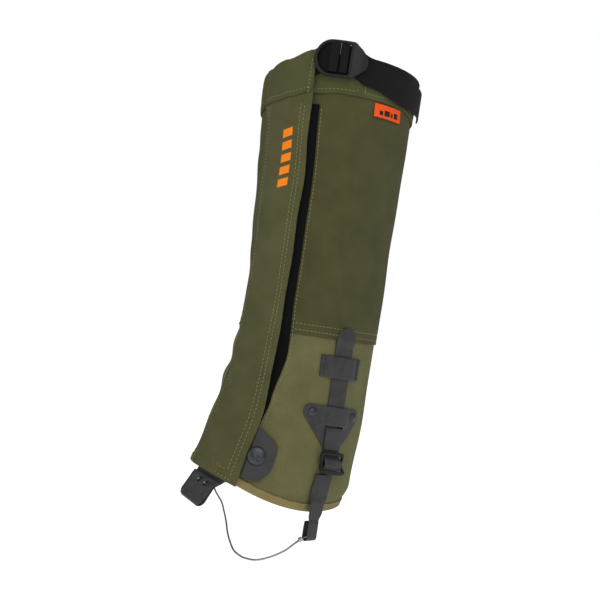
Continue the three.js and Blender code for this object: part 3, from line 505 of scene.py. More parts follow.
def linear(rgb):
    """An sRGB colour of 0 to 255 as linear light."""
    return (*(v / 255 / 12.92 if v / 255 <= 0.04045 else ((v / 255 + 0.055) / 1.055) ** 2.4 for v in rgb), 1)


def grey(v):
    return (v, v, v, 1)


def bands(pitch):
    """The wave texture's scale that gives THREADS bands to each pitch in mm."""
    return THREADS * PI / 10 / pitch


def add(tree, kind, **values):
    """A new node with its settings. A socket among them is linked."""
    node = tree.nodes.new(kind)
    for key, value in values.items():
        if key not in node.inputs:
            setattr(node, key, value)
        elif isinstance(value, bpy.types.NodeSocket):
            tree.links.new(value, node.inputs[key])
        else:
            node.inputs[key].default_value = value
    return node


class Look:
    """A material in the making, with coordinates in mm along the cloth ("UV") or in space ("Object")."""

    def __init__(self, name, rough, metal=0.0, sheen=0.0, spec=0.4, space=None):
        self.material = bpy.data.materials.new(name)
        self.material.use_nodes = True
        self.tree = self.material.node_tree
        self.shader = self.tree.nodes["Principled BSDF"]
        for socket, value in (("Roughness", rough), ("Metallic", metal), ("Sheen Weight", sheen),
                              ("Sheen Roughness", 0.6), ("Specular IOR Level", spec)):
            self.shader.inputs[socket].default_value = value
        if space:
            source = (add(self.tree, "ShaderNodeUVMap", uv_map="cloth") if space == "UV"
                      else add(self.tree, "ShaderNodeTexCoord"))
            self.at = add(self.tree, "ShaderNodeMapping", Vector=source.outputs[space],
                          Scale=(1000, 1000, 1000)).outputs["Vector"]

    def noise(self, scale, detail=3.0, rough=0.55):
        return add(self.tree, "ShaderNodeTexNoise", Vector=self.at, Scale=scale, Detail=detail,
                   Roughness=rough).outputs["Fac"]

    def wave(self, scale, direction, distortion):
        return add(self.tree, "ShaderNodeTexWave", Vector=self.at, Scale=scale, Distortion=distortion,
                   bands_direction=direction).outputs["Fac"]

    def maths(self, operation, a, b):
        node = add(self.tree, "ShaderNodeMath", operation=operation)
        for slot, value in enumerate((a, b)):
            if isinstance(value, float):
                node.inputs[slot].default_value = value
            else:
                self.tree.links.new(value, node.inputs[slot])
        return node.outputs[0]

    def ramp(self, fac, *stops):
        node = add(self.tree, "ShaderNodeValToRGB", Fac=fac)
        for element, (at, colour) in zip(node.color_ramp.elements, stops):
            element.position = at
            element.color = colour
        return node.outputs["Color"]

    def bump(self, height, distance, strength=1.0, **normal):
        return add(self.tree, "ShaderNodeBump", Height=height, Strength=strength, Distance=distance,
                   **normal).outputs["Normal"]

    def multiply(self, a, b, fac=1.0):
        node = add(self.tree, "ShaderNodeMix", data_type="RGBA", blend_type="MULTIPLY")
        node.inputs["Factor"].default_value = fac
        self.tree.links.new(a, node.inputs[6])
        self.tree.links.new(b, node.inputs[7])
        return node.outputs[2]

    def done(self, colour, normal, rough=None):
        for socket, source in (("Base Color", colour), ("Normal", normal), ("Roughness", rough)):
            if source is not None:
                self.tree.links.new(source, self.shader.inputs[socket])
        return self.material


def woven(name, dark, light, pitch=0.8, depth=0.14, rough=0.9, fleck=0.5, twill=False):
    """Cloth: fine warp and weft, soft blotches, and flecks of lighter yarn."""
    look = Look(name, rough, sheen=0.02, spec=0.1, space="UV")
    warp, weft = (look.wave(bands(pitch), way, 0.6) for way in ("X", "DIAGONAL" if twill else "Y"))
    yarn = look.maths("MAXIMUM", warp, weft)
    grain = look.noise(1.1, 2.0)
    blotch = look.maths("MULTIPLY", look.noise(0.035, 4.0), 0.45)
    mixed = look.maths("ADD", blotch, look.maths("MULTIPLY", grain, 0.55))
    flecks = look.maths("MULTIPLY", yarn, look.noise(2.3, 1.0))
    colour = look.multiply(look.ramp(mixed, (0.3, linear(dark)), (0.68, linear(light))),
                           look.ramp(flecks, (0, grey(1 - fleck)), (0.55, grey(1))), 0.6)
    soft = look.bump(look.noise(0.12), 0.0007, 0.5)
    return look.done(colour, look.bump(yarn, depth * MM, 0.9, Normal=soft),
                     look.ramp(grain, (0.2, grey(rough - 0.08)), (0.8, grey(min(1, rough + 0.08)))))


def rubberised(name, dark, light):
    """Coated fabric: matt, with a fine pebble and faint handling marks."""
    look = Look(name, 0.55, spec=0.35, space="Object")
    marks, pebble = look.noise(0.14, 5.0, 0.6), look.noise(2.6)
    colour = look.multiply(look.ramp(marks, (0.3, linear(dark)), (0.72, linear(light))),
                           look.ramp(pebble, (0.3, grey(0.82)), (0.7, grey(1))))
    soft = look.bump(marks, 0.0004, 0.4)
    return look.done(colour, look.bump(pebble, 0.00012, 0.7, Normal=soft),
                     look.ramp(marks, (0.3, grey(0.45)), (0.7, grey(0.69))))


def ribbed(name, dark, light, pitch=1.1, depth=0.18):
    """Woven tape: close ribs across it and a looser line along it."""
    look = Look(name, 0.6, spec=0.15, space="UV")
    ribs, lines = look.wave(bands(pitch), "Y", 0.3), look.wave(bands(2.6), "X", 0.2)
    height = look.maths("ADD", look.maths("MULTIPLY", ribs, 0.7), look.maths("MULTIPLY", lines, 0.4))
    fuzz = look.noise(1.6, 4.0)
    colour = look.ramp(look.maths("MULTIPLY", height, fuzz), (0.08, linear(dark)), (0.6, linear(light)))
    rise = look.maths("ADD", height, look.maths("MULTIPLY", fuzz, 0.3))
    return look.done(colour, look.bump(rise, depth * MM, 0.9))


def moulded(name, base, worn, rough, metal=0.0, spec=0.5):
    """Hard plastic or lacquered metal: fine grain, with scuffs that lift the colour and the roughness."""
    look = Look(name, rough, metal, spec=spec, space="Object")
    scuff = look.noise(0.35, 6.0, 0.7)
    colour = look.ramp(scuff, (0.42, linear(base)), (0.78, linear(worn)))
    return look.done(colour, look.bump(look.noise(3.0, 2.0), 0.00004, 0.6),
                     look.ramp(scuff, (0.3, grey(rough)), (0.8, grey(min(1, rough + 0.22)))))


def twisted(name):
    """Stranded steel cable: bright strands that wind round it."""
    look = Look(name, 0.32, 1.0, space="Object")
    strands = look.wave(1.3, "DIAGONAL", 0.5)
    colour = look.ramp(strands, (0.1, linear((96, 97, 100))), (0.7, linear((186, 188, 192))))
    return look.done(colour, look.bump(strands, 0.00022))


def fuzzy(name, dark, light):
    """Hook and loop tape: a deep matt pile."""
    look = Look(name, 1.0, sheen=0.03, spec=0.05, space="Object")
    pile = look.noise(1.5, 6.0, 0.75)
    return look.done(look.ramp(pile, (0.35, linear(dark)), (0.75, linear(light))), look.bump(pile, 0.0011))


UPPER = woven("upper_canvas", (62, 61, 35), (86, 85, 53))
LOWER = woven("lower_canvas", (88, 86, 54), (120, 118, 78))
FLAP = woven("flap_canvas", (70, 69, 42), (94, 93, 60))
CUFF = woven("cuff_canvas", (66, 67, 38), (88, 89, 54))
HEM = woven("hem_tape", (112, 100, 62), (158, 144, 96), pitch=1.3, depth=0.25, twill=True)
PRINT = woven("orange_print", (216, 110, 12), (244, 136, 26), depth=0.06, fleck=0.2, rough=0.6)
LABEL = woven("label_weave", (206, 66, 18), (236, 88, 28), pitch=0.5, depth=0.05, fleck=0.2, rough=0.7)
LABEL_INK = woven("label_ink", (34, 26, 22), (52, 38, 30), pitch=0.5, depth=0.05, rough=0.7)
THREAD = ribbed("thread", (128, 126, 92), (170, 168, 130), pitch=0.6, depth=0.05)
WEB = ribbed("webbing", (3, 3, 4), (17, 17, 19))
COATED = rubberised("coated_fabric", (33, 33, 35), (53, 53, 55))
PILE = fuzzy("loop_pile", (3, 3, 4), (18, 18, 19))
BLACK_THREAD = moulded("black_thread", (16, 16, 17), (30, 30, 31), 0.7)
PLASTIC = moulded("black_plastic", (10, 10, 11), (22, 22, 24), 0.36, spec=0.22)
GUNMETAL = moulded("gunmetal", (54, 55, 58), (80, 82, 86), 0.33, 0.85)
STEEL = moulded("steel", (150, 152, 156), (196, 198, 202), 0.28, 1.0)
CABLE = twisted("steel_cable")

# ---- cable

CABLE_LINE = [[62.5, -10, -27], [62.5, -16, -27], [62.5, -21.5, -27], [61.5, -27, -29], [57, -30.5, -34.5],
              [49.3, -33, -42.3], [36.3, -36, -51], [20.3, -37, -58.2], [5.8, -37, -60.6], [-3.7, -36, -60.6],
              [-15.1, -34, -58.4], [-31.4, -28, -50], [-44, -21.5, -41], [-49.5, -21, -33], [-54, -22.5, -24],
              [-60, -26.5, -15.5], [-65, -26.5, -8.5], [-66.6, -21, -4.6], [-66.6, -15, -4], [-66.6, -7, -4]]
CABLE_R = 0.9


def cable():
    curve = bpy.data.curves.new("boot_cable", "CURVE")
    curve.dimensions = "3D"
    curve.bevel_depth = CABLE_R * MM
    curve.bevel_resolution = 3
    curve.resolution_u = 6
    curve.use_fill_caps = True
    curve.materials.append(CABLE)
    fine = resample(CABLE_LINE, 160)
    spline = curve.splines.new("POLY")
    spline.points.add(len(fine) - 1)
    for point, p in zip(spline.points, fine):
        point.co = (*(p * MM), 1)
    obj = settle(link("boot_cable", curve), "cable", "cable")
    [v * MM for v in CABLE_LINE[0]]
    float(spaced(fine)[-1]) * MM


cable()

# ---- body fabric

GROOVE = 0.3  # how far a row of stitches pulls the cloth in
SEAM_ROWS = (151.5, 157)
CUFF_DIP = 2.4  # how far the cuff's top sinks below its table in front
TAPE_Z = (66, 349)


def groove(distance, width=1.1):
    return -GROOVE * np.exp(-(distance / width) ** 2)


def front_dip(phi):
    return CUFF_DIP * (1 - smooth(20, 50, np.abs(wrap(phi))))


def upper_at(u, v):
    edge = body_phi(u, CUFF_AT)
    z = lerp(SEAM_Z, cuff_top(edge) - front_dip(edge) - 3.5, v)
    phi = body_phi(u, z)
    hi = UPPER_OUT + sum(groove(z - row) for row in SEAM_ROWS)
    return phi, z, 0 * u + 0.05, hi, np.stack([phi * 72, z], -1)


def lower_at(u, v):
    z = lerp(hem_z(body_phi(u, HEM_AT)) + 2, SEAM_Z + 12, v)
    phi = body_phi(u, z)
    return phi, z, LOWER_IN + 0 * u, LOWER_OUT - 0.02 + 0 * u, np.stack([phi * 72, z], -1)


upper_rows = np.concatenate([np.linspace(0, 0.06, 26), np.linspace(0.068, 1, 110)])
upper = cloth("upper_panel_cloth", 300, upper_rows, upper_at, UPPER, 0.4)
settle(upper, "shell", "upper_panel")
lower = cloth("lower_panel_cloth", 300, np.linspace(0, 1, 100), lower_at, LOWER, 0.3)
settle(lower, "shell", "lower_panel")


def cuff_swell(phi):
    """The cuff rises beside the flap's sewn edge, where it runs on over the flap."""
    d = wrap(phi)
    return 3.3 * smooth(-40, -20, d) * (d < 0)


def swept(name, places, loop_at, material, radius):
    """Cloth swept round the tube: loop_at gives its section as (outward, z) points, and their angles by z."""
    rings, uvs = [], []
    for place in places:
        loop, phi_of = loop_at(place)
        off, z = np.array(loop).T
        phi = phi_of(z)
        rings.append(surface(phi, z, off))
        uvs.append(np.stack([np.full(len(z), phi * radius), z + off], 1))
    return loft(name, rings, material, uvs)


def cuff_loop(u):
    phi = float(body_phi(u, CUFF_AT))
    deg = float(wrap(phi))
    low, top = float(cuff_low(phi)), float(cuff_top(phi))
    if deg > -12:
        top -= float(front_dip(phi))
    swell = float(cuff_swell(phi) * (1 - smooth(-18.5, -17, deg)))
    z = np.linspace(low, top - 1.4, 22)
    out = CUFF_OUT + swell + 0.5 * hill(deg, 58.5, 1.6) + groove(z - low - 4)
    out = out + 0.12 * np.sin(phi * 29 + z / 5) * smooth(low, low + 12, z)
    out[0] -= 0.25
    crown = [(CUFF_OUT + swell - 0.25, top - 0.6), (2.3 + swell, top), (0.4, top + 0.15), (-1, top - 0.1),
             (LOWER_IN + 0.2, top - 0.9)]
    inner = [(LOWER_IN, height) for height in np.linspace(top - 2, low + 2, 6)]
    inside = [(-0.4, low + 2), (-0.4, top - 2.6), (0, top - 2.2), (1.2, top - 2.2), (1.65, top - 2.8),
              (1.65, low)]
    return [*zip(out, z), *crown, *inner, *inside], lambda _: phi


def hem_loop(u):
    low = float(hem_z(body_phi(u, HEM_AT)))
    bob = 0.15 * math.sin(u * 210) + 0.1 * math.sin(u * 391)
    out, inn = LOWER_OUT + 1.0, LOWER_IN - 1.0
    loop = [(LOWER_OUT + 0.15, 6.9 + bob), (out - 0.2, 7.0 + bob), (out + 0.1, 6.4 + bob), (out - 0.12, 5.1),
            (out + 0.15, 4), (out + 0.12, 2.2), (out - 0.1, 1), (LOWER_OUT, 0.1),
            ((LOWER_OUT + LOWER_IN) / 2, -0.2), (LOWER_IN, 0.1), (inn, 1), (inn, 4), (inn, 6.6),
            (LOWER_IN - 0.1, 6.7), (LOWER_IN - 0.25, 1.6), (LOWER_OUT + 0.15, 1.6)]
    return [(off, low + rise) for off, rise in loop], lambda z: body_phi(u, z)


cuff = swept("top_cuff_cloth", np.linspace(0, 1, 260), cuff_loop, CUFF, 73)
settle(cuff, "shell", "top_cuff")
hem = swept("hem_binding_tape", np.linspace(0, 1, 320), hem_loop, HEM, 72)
settle(hem, "shell", "hem_binding")


# How far across the black loop tape reaches, by height. The strip of it that shows past the flap's free edge
# (x = 27) is partly real tape and partly a painted shadow: its width by height follows the shade under that
# edge.
def tape_and_shadow_edge(z):
    return table([[66, 27.5], [88, 29.5], [132, 34.5], [180, 33], [349, 32.5]], z)


def tape_at(u, v):
    z = lerp(*TAPE_Z, v)
    x = lerp(-9, tape_and_shadow_edge(z), u)
    base = body_out(z) + 0.45
    pile = 0.3 * np.sin(u * 91 + 17 * np.sin(v * 190)) * np.sin(v * 530 + 9 * np.sin(u * 60))
    return phi_at_x(x, z), z, base, base + 1.1 + pile, np.stack([x, z], -1)


# The black loop tape under the flap; where it shows past the flap's free edge it stands in as a painted
# shadow under that edge.
tape = cloth("loop_tape_pile", 60, np.linspace(0, 1, 420), tape_at, PILE, 0.5)
settle(tape, "shell", "loop_tape")

# ---- front flap

EDGE_ROWS = (4.6, 7.6)  # stitch rows beside the flap's long edges
HEM_ROWS = (2.4, 8.5)  # stitch rows above its lower edge


def flap_base(x, z):
    edge = body_out(z) + 0.3 + table([[32, 1.3], [40, 0], [334, 0], [347, CUFF_OUT - UPPER_OUT]], z)
    return lerp(edge, FLAP_IN, smooth(-18, -10, x))


def flap_belly(x, z):
    across = (x - FLAP_MID) / FLAP_HALF
    return 0.5 * np.cos(across * PI / 2) + 0.25 * np.sin(z / 19 + x / 9) * (1 - across**2)


def flap_at(u, v):
    x0 = lerp(FLAP_SEWN, FLAP_FREE, u)
    hem = hem_z(phi_at_x(x0, TOE_AT))
    z = lerp(hem, cuff_top(phi_at_x(x0, CUFF_AT)) - 3, v)
    x = x0 + 0.35 * np.sin(z / 11 + 1) * smooth(20, 27, x0)
    lo = flap_base(x, z)
    edge = np.minimum(x0 - FLAP_SEWN, FLAP_FREE - x0)
    dips = sum(groove(edge - row, 0.8) for row in EDGE_ROWS)
    dips = dips + groove(z - hem - HEM_ROWS[1], 0.9) * (edge > 7) + groove(z - hem - HEM_ROWS[0], 0.8)
    hi = lo + FLAP_T + dips + flap_belly(x0, z) * smooth(14, 40, z)
    return phi_at_x(x, z), z, lo, hi, np.stack([x, z], -1)


flap = cloth("front_flap_cloth", 110, np.linspace(0, 1, 400), flap_at, FLAP, 0.4)
settle(flap, "flap cloth", "front_flap")


def hook_at(u, v):
    z = lerp(*TAPE_Z, v)
    x = lerp(-7, 24, u)
    dents = 0.15 * np.sin(u * 70) * np.sin(v * 700)
    return phi_at_x(x, z), z, 3.5 + dents, FLAP_IN - 0.3 + 0 * u, np.stack([x, z], -1)


hook = cloth("hook_tape_pile", 40, np.linspace(0, 1, 260), hook_at, PILE, 0.3)
settle(hook, "flap cloth", "hook_tape")

FLAP_CUFF_OUT = FLAP_T + 0.55 + 1.2


def flap_cuff_bow(x):
    return 0.45 * np.cos(x / 27 * PI / 2)


def flap_cuff_loop(x):
    phi = float(phi_at_x(x, CUFF_AT))
    low, top = float(cuff_low(phi)), float(cuff_top(phi))
    base = float(flap_base(x, CUFF_AT))
    out = base + FLAP_T + 0.55
    z = np.linspace(low, top - 1, 24)
    face = base + FLAP_CUFF_OUT + flap_cuff_bow(x) + groove(z - low - 4)
    if x > 0:
        face += groove(FLAP_FREE - x - 2.6, 0.8)
    face[0] -= 0.3
    loop = [*zip(face, z), (out + 0.9, top - 0.2), (out, top + 0.1), (base + 0.7, top), (base, top - 0.4),
            (base, top - 1.3), (base + 0.5, top - 1.6), (out, top - 1.5), (out, low)]
    return loop, lambda _: phi


flap_cuff = swept("flap_cuff_cloth", np.linspace(FLAP_SEWN - 0.2, FLAP_FREE, 90), flap_cuff_loop, CUFF, 73)
settle(flap_cuff, "flap cloth", "flap_cuff")


def add_plate(verts, faces, point, n, m, layers):
    """Adds a thin closed plate: point(a, b, layer) gives its corners over a grid of n by m cells."""
    start = len(verts)
    verts += [np.asarray(point(i / n, j / m, layer)).reshape(3)
              for layer in layers for i in range(n + 1) for j in range(m + 1)]
    at = lambda i, j, k: start + (k * (n + 1) + i) * (m + 1) + j
    for i in range(n):
        for j in range(m):
            faces.append([at(i, j, 1), at(i + 1, j, 1), at(i + 1, j + 1, 1), at(i, j + 1, 1)])
            faces.append([at(i, j, 0), at(i, j + 1, 0), at(i + 1, j + 1, 0), at(i + 1, j, 0)])
    faces += [[at(i, j, 0), at(i + 1, j, 0), at(i + 1, j, 1), at(i, j, 1)] for i in range(n) for j in (0, m)]
    faces += [[at(i, j, 0), at(i, j + 1, 0), at(i, j + 1, 1), at(i, j, 1)] for j in range(m) for i in (0, n)]


def print_mark():
    """A plain mark of slanted bars in the place of the printed word."""
    verts, faces = [], []
    for k in range(5):
        def point(a, b, layer):
            x = lerp(5.5, 14.5, a)
            z = 326 - 11 * k - 7.2 * b + (x - 10) * 0.35
            return surface(phi_at_x(x, z), z, flap_base(x, z) + FLAP_T + flap_belly(x, z) + layer)

        add_plate(verts, faces, point, 14, 10, (0.02, 0.2))
    verts = np.array(verts)
    settle(piece("flap_print_mark", verts, faces, PRINT, verts[:, [0, 2]]), "flap cloth")


print_mark()

# ---- sewing

def flap_top(x, z):
    return flap_base(x, z) + FLAP_T + flap_belly(x, z) * smooth(14, 40, z) - GROOVE


def hem_row(inset, rise, height, count):
    x = np.linspace(FLAP_SEWN + inset, FLAP_FREE - inset, count)
    return seam(phi_at_x(x, height), hem_z(phi_at_x(x, TOE_AT)) + rise, flap_top(x, height))


flap_rows = []
for inset, rise in zip(EDGE_ROWS, HEM_ROWS):
    for x in (FLAP_SEWN + inset, FLAP_FREE - inset):
        z = np.linspace(20, 349, 500)
        z = z[z > hem_z(phi_at_x(x, TOE_AT)) + rise]
        flap_rows.append(seam(phi_at_x(x, z), z, flap_top(x, z)))
flap_rows += [hem_row(EDGE_ROWS[1], HEM_ROWS[1], 24, 60), hem_row(2, HEM_ROWS[0], 17, 80)]
x = np.linspace(FLAP_SEWN + 1, FLAP_FREE - 1, 80)
phi = phi_at_x(x, CUFF_AT)
cuff_face = flap_base(x, CUFF_AT) + FLAP_CUFF_OUT + flap_cuff_bow(x) - GROOVE
flap_rows.append(seam(phi, cuff_low(phi) + 4, cuff_face))
x = FLAP_FREE - 2.6
flap_rows.append(seam(phi_at_x(x, CUFF_AT), np.linspace(357, 390, 40),
                      flap_base(x, CUFF_AT) + FLAP_CUFF_OUT - GROOVE + 0.1))
settle(stitches("flap_stitches", flap_rows, THREAD), "flap cloth")


def body_run(height, from_x):
    """Angles round the body at a height, from beside the loop tape to the flap's sewn edge."""
    phi = body_phi(np.linspace(0, 1, 700), height)
    return phi[(phi > phi_at_x(from_x, height)) & (phi < 2 * PI + phi_at_x(-25, height))]


shell_rows = [seam(body_run(height, 36), height, UPPER_OUT - GROOVE) for height in SEAM_ROWS]
phi = body_run(CUFF_AT, 29)
shell_rows.append(seam(phi, cuff_low(phi) + 4, CUFF_OUT - GROOVE + cuff_swell(phi)))
shell_rows += [seam(phi, np.linspace(365, 395, 40), CUFF_OUT + 0.05) for phi in np.radians((57, 62.5))]
z = np.linspace(70, 349, 400)
shell_rows.append(seam(phi_at_x(tape_and_shadow_edge(z) + 1.8, z), z, body_out(z)))
phi = body_run(HEM_AT, 29)
shell_rows.append(seam(phi, hem_z(phi) + 5.1, LOWER_OUT + 1.0 - 0.15))
settle(stitches("shell_stitches", shell_rows, THREAD), "shell")

# ---- label

LABEL_LINE = [(360, 2.0), (356, 2.3), (351, 2.8), (348.3, 3.0)]


def label_at(z, s, t):
    return on_tube(LABEL_PHI)(s, z + 0.03 * s, t)


settle(ribbon("label_tag", LABEL_LINE, 31, STRAP_T, label_at, LABEL, 24), "shell", "label")


def label_mark():
    """Plain blocks in the place of the woven word."""
    verts, faces = [], []
    for s0, s1, high in ((-10.4, -6.8, 354.2), (-5.2, 0.8, 355.4), (2.3, 4.4, 354.2), (6, 10.7, 355.4)):
        def point(a, b, layer):
            z = lerp(350.6, high, b)
            t = np.interp(z, *np.array(LABEL_LINE[::-1]).T) + 0.56
            return label_at(z, lerp(s0, s1, a), t + layer)

        add_plate(verts, faces, point, 4, 3, (0.0, 0.16))
    verts = np.array(verts)
    settle(piece("label_mark", verts, faces, LABEL_INK, verts[:, [1, 2]]), "shell")


label_mark()

# ---- snap tab

SNAP_Z = 38.8
SNAP_FOLD = -7
SNAP_TOP = 65.6
TAB_T = (2.4, 3.9)


def snap_outline(lo, hi):
    """The round tab with its pointed top, between two distances round."""
    points = hull_of([(3.2, 31.8, 13), (3, 42.5, 13), (-11.8, 66.2, 1.2), (-22, 66.4, 1), (-22, 27, 1)], 48)
    for axis, edge, sign in ((0, lo, 1), (0, hi, -1), (1, SNAP_TOP, -1)):
        out = []
        for k, p in enumerate(points):
            q = points[(k + 1) % len(points)]
            if (p[axis] - edge) * sign >= 0:
                out.append(p)
            if (p[axis] - edge) * (q[axis] - edge) < 0:
                t = (edge - p[axis]) / (q[axis] - p[axis])
                out.append((p[0] + t * (q[0] - p[0]), p[1] + t * (q[1] - p[1])))
        points = out
    return points


for name, ends, voxel, body, node in (
        ("snap_tab_flap", (SNAP_FOLD, 40), 0.4, "snap", "snap_tab"),
        ("snap_tab_root", (-23, SNAP_FOLD - 0.3), 0.5, "flap", "snap_tab_base")):
    tab = carve(name, [prism(snap_outline(*ends), *TAB_T)], COATED, on_tube(SNAP_PHI), voxel)
    settle(tab, body, node)

# ---- instep patch, keeper and strap

SLOT_Z = 70


def patch_place(s, z, t):
    lift = 1.7 * (1 - smooth(12.5, 18, np.abs(s))) * smooth(SLOT_Z - 1, SLOT_Z + 2.6, z)
    return strap_place(s, z, t + lift)


def instep_patch():
    """The riveted patch and its tongue, lifted over the slot that the strap's tail goes through."""
    outline = hull_of([(-26.3, 80.8, 7.2), (26.3, 80.8, 7.2), (-8.5, 54, 3), (8.5, 54, 3)])
    parts = [prism(outline, 0, 1.35), rect(-9, 42.8, 9, 56, 0, 1.35)]
    obj = carve("instep_patch_flat", parts, COATED, lambda *flat: np.stack(flat, -1), 0.42, 1)
    cut_out(obj, piece("slot_cutter", *rect(-10.9, SLOT_Z - 1, 10.9, SLOT_Z + 1, -3, 5), COATED))
    points, faces = baked(obj)
    points /= MM
    obj = piece("instep_patch_coated", patch_place(*points.T), faces, COATED, points[:, :2])
    settle(obj, "shell", "instep_patch")


instep_patch()

TAIL_LINE = [(84, 0.65), (100, 0.65), (118, 0.65), (138, 0.7), (141, 0.85), (144, 1.7), (147.5, 2.4),
             (153, 2.45), (159, 2.45)]
tail = ribbon("strap_tail_coated", TAIL_LINE, 20, 1.2, down_strap, COATED, 90, round_tip=10)
settle(tail, "tail_strap", "strap_tail")

KEEPER_Z = 123.1
KEEPER_RISE = [(22.5, 0.7), (19, 0.7), (15.5, 0.85), (13.2, 1.9), (11.4, 2.75), (6, 3.0)]
keeper_line = [(-s, t) for s, t in KEEPER_RISE] + [(0, 3.05)] + KEEPER_RISE[::-1]
OVER_LINE = [(69.4, 1.9), (67, 2.35), (62, 2.3), (56, 2.25), (49.6, 2.2)]
WEAVE_LINE = [(49, 2.2), (45, 2.3), (43.2, 3.5), (41.9, 5.1), (40.4, 5.9), (37.5, 6.25), (35.4, 6.2),
              (33.9, 5.3), (32.4, 4), (30.4, 3.2)]


def keeper_place(s, w, t):
    return strap_place(s, KEEPER_Z + w, t)


for name, line, place, count, body, node in (
        ("strap_keeper_coated", keeper_line, keeper_place, 90, "shell", "strap_keeper"),
        ("strap_over_patch_coated", OVER_LINE, down_strap, 30, "shell", "strap_over_patch"),
        ("strap_in_buckle_coated", WEAVE_LINE, down_strap, 60, "slide_buckle", "strap_in_buckle")):
    settle(ribbon(name, line, 19.6, STRAP_T, place, COATED, count), body, node)


def tongue():
    """The closed loop of the patch's tongue round the buckle's middle bar."""
    turn = np.linspace(0, 2 * PI, 48, endpoint=False)
    path = np.stack([38 + 2.5 * np.cos(turn) * (1 + 0.1 * np.cos(2 * turn)), 2.55 + 1.9 * np.sin(turn)], 1)
    step = np.roll(path, -1, 0) - np.roll(path, 1, 0)
    step /= np.linalg.norm(step, axis=1)[:, None]
    s, t = rounded(16, 0.62, 0.28)
    rings = [strap_place(s, p[0] - n[0] * t, p[1] - n[1] * t) for p, n in zip(path, sideways(step))]
    settle(loft("tongue_loop_coated", rings, COATED, close=True), "shell", "tongue_loop")


tongue()

# ---- strap leg and cable anchors

LOOP_X, LOOP_Y, LOOP_Z = 62.5, -18, -27


def leg_edges(z):
    """Front and back edges of the leg strap, in y, at a height."""
    front = table([[-20, -23.8], [-14, -23.8], [-8, -25.4], [0, -25.4], [12, -24.8], [28.4, -22]], z)
    rear = table([[-20, -12.2], [-13, -12.2], [-5, -9], [0, -8.6], [10, -4.4], [28.4, -2.5]], z)
    return front, rear


def leg_x(y, z):
    """The strap lies on the body above and runs straight to its end loop below."""
    _, bf, _, cy = section(max(z, 8))
    near = surface(np.arccos(np.clip((cy - y) / bf, -1, 1)), max(z, 8), 0, False)[..., 0]
    return lerp(LOOP_X + 2.15, lerp(64.6, near + 1.7, smooth(2, 14, z)), smooth(-16, 4, z))


def leg_strap():
    rings, uvs = [], []
    for z in np.linspace(28.4, -19, 60):
        front, rear = leg_edges(z)
        half = (rear - front) / 2
        flat = np.linspace(half - 0.5, 0.5 - half, 12)
        across = np.concatenate([half - np.array([0.08, 0, 0.08]), flat])
        through = np.concatenate([[-0.3, 0, 0.3], np.full(12, 0.58)])
        across, through = np.concatenate([across, -across]), np.concatenate([through, -through])
        y = (front + rear) / 2 + across
        level = np.full(len(y), z)
        rings.append(np.stack([leg_x(y, z) + 0.6 + through, y, level], 1))
        uvs.append(np.stack([across, level], 1))
    settle(loft("strap_leg_coated", rings, COATED, uvs), "leg_strap", "strap_leg")


leg_strap()


def end_loop(name, x, y, z, r, high, body):
    """A stitched loop of coated strap whose opening runs front to back."""
    down = [(x - r + 0.4 * smooth(high - 6, high, k), z + k) for k in np.linspace(high, 1, 8)]
    under = [(x + r * math.cos(a), z + r * math.sin(a)) for a in np.linspace(PI, 2 * PI, 16)]
    up = [(x + r, z + k) for k in np.linspace(1, high, 8)]
    path = resample(down + under + up, 60)
    w, t = rounded(12, STRAP_T, 0.5)
    rings = [np.stack([p[0] + n[0] * t, y + w, p[1] + n[1] * t], 1)
             for p, n in zip(path, sideways(steps(path)))]
    settle(loft(name, rings, COATED), body)


end_loop("strap_leg_loop", LOOP_X, LOOP_Y, LOOP_Z, 2.9, 13.5, "leg_strap")
end_loop("medial_loop_end", -66.1, -12, -4, 3.6, 10, "shell")


def band_place(z, w, t):
    return np.stack([surface(MEDIAL_PHI, np.maximum(z, 12), t, False)[..., 0], w - 12 + 0 * z, z], -1)


BAND_LINE = [(39, 2.0), (30, 2.0), (22, 2.1), (14, 2.7), (8, 2.8), (3, 2.8)]
settle(ribbon("medial_loop_band", BAND_LINE, 12, STRAP_T, band_place, COATED, 50), "shell", "medial_loop")
medial_outline = hull_of([(-14, 53, 6), (14, 53, 6), (-6, 30, 3), (6, 30, 3)])
medial_parts = [prism(medial_outline, 0, 1.3)]
medial_patch = carve("medial_patch_coated", medial_parts, COATED, on_tube(MEDIAL_PHI), 0.45)
settle(medial_patch, "shell", "medial_patch")

# ---- lace tab

LACE_X, LACE_Z, LACE_IN, LACE_HALF = 6.4, 19.5, 2.6, 13.7
LACE_TURN, LACE_LEAN, LACE_TILT = math.radians(5.7), math.radians(14.9), math.radians(22.3)
LACE_SLOTS = (-2.9, 5.1)


def lace_axes():
    """The tab's own axes: its root, across it, down it, and out from its face."""
    origin = surface(phi_at_x(LACE_X, LACE_Z), LACE_Z, LACE_IN, False)
    level = np.array([math.cos(LACE_TURN), math.sin(LACE_TURN), 0])
    front = np.array([math.sin(LACE_TURN), -math.cos(LACE_TURN), 0])
    up = np.array([0, 0, 1])
    across = level * math.cos(LACE_LEAN) - up * math.sin(LACE_LEAN)
    fall = -level * math.sin(LACE_LEAN) - up * math.cos(LACE_LEAN)
    down = fall * math.cos(LACE_TILT) + front * math.sin(LACE_TILT)
    return origin, across, down, -np.cross(across, down)


def lace_place(x, d, t):
    """Across, down and out from the tab's face. Near its root it lies on the body under the flap."""
    x, d, t = np.broadcast_arrays(*(np.asarray(v, float) for v in (x, d, t)))
    origin, across, down, out = lace_axes()
    flat = origin + x[..., None] * across + d[..., None] * down + t[..., None] * out
    under = surface(np.arcsin(flat[..., 0] / section(flat[..., 2])[0]), flat[..., 2], LACE_IN + t, False)
    return lerp(flat, under, (1 - smooth(2, 9, d))[..., None])


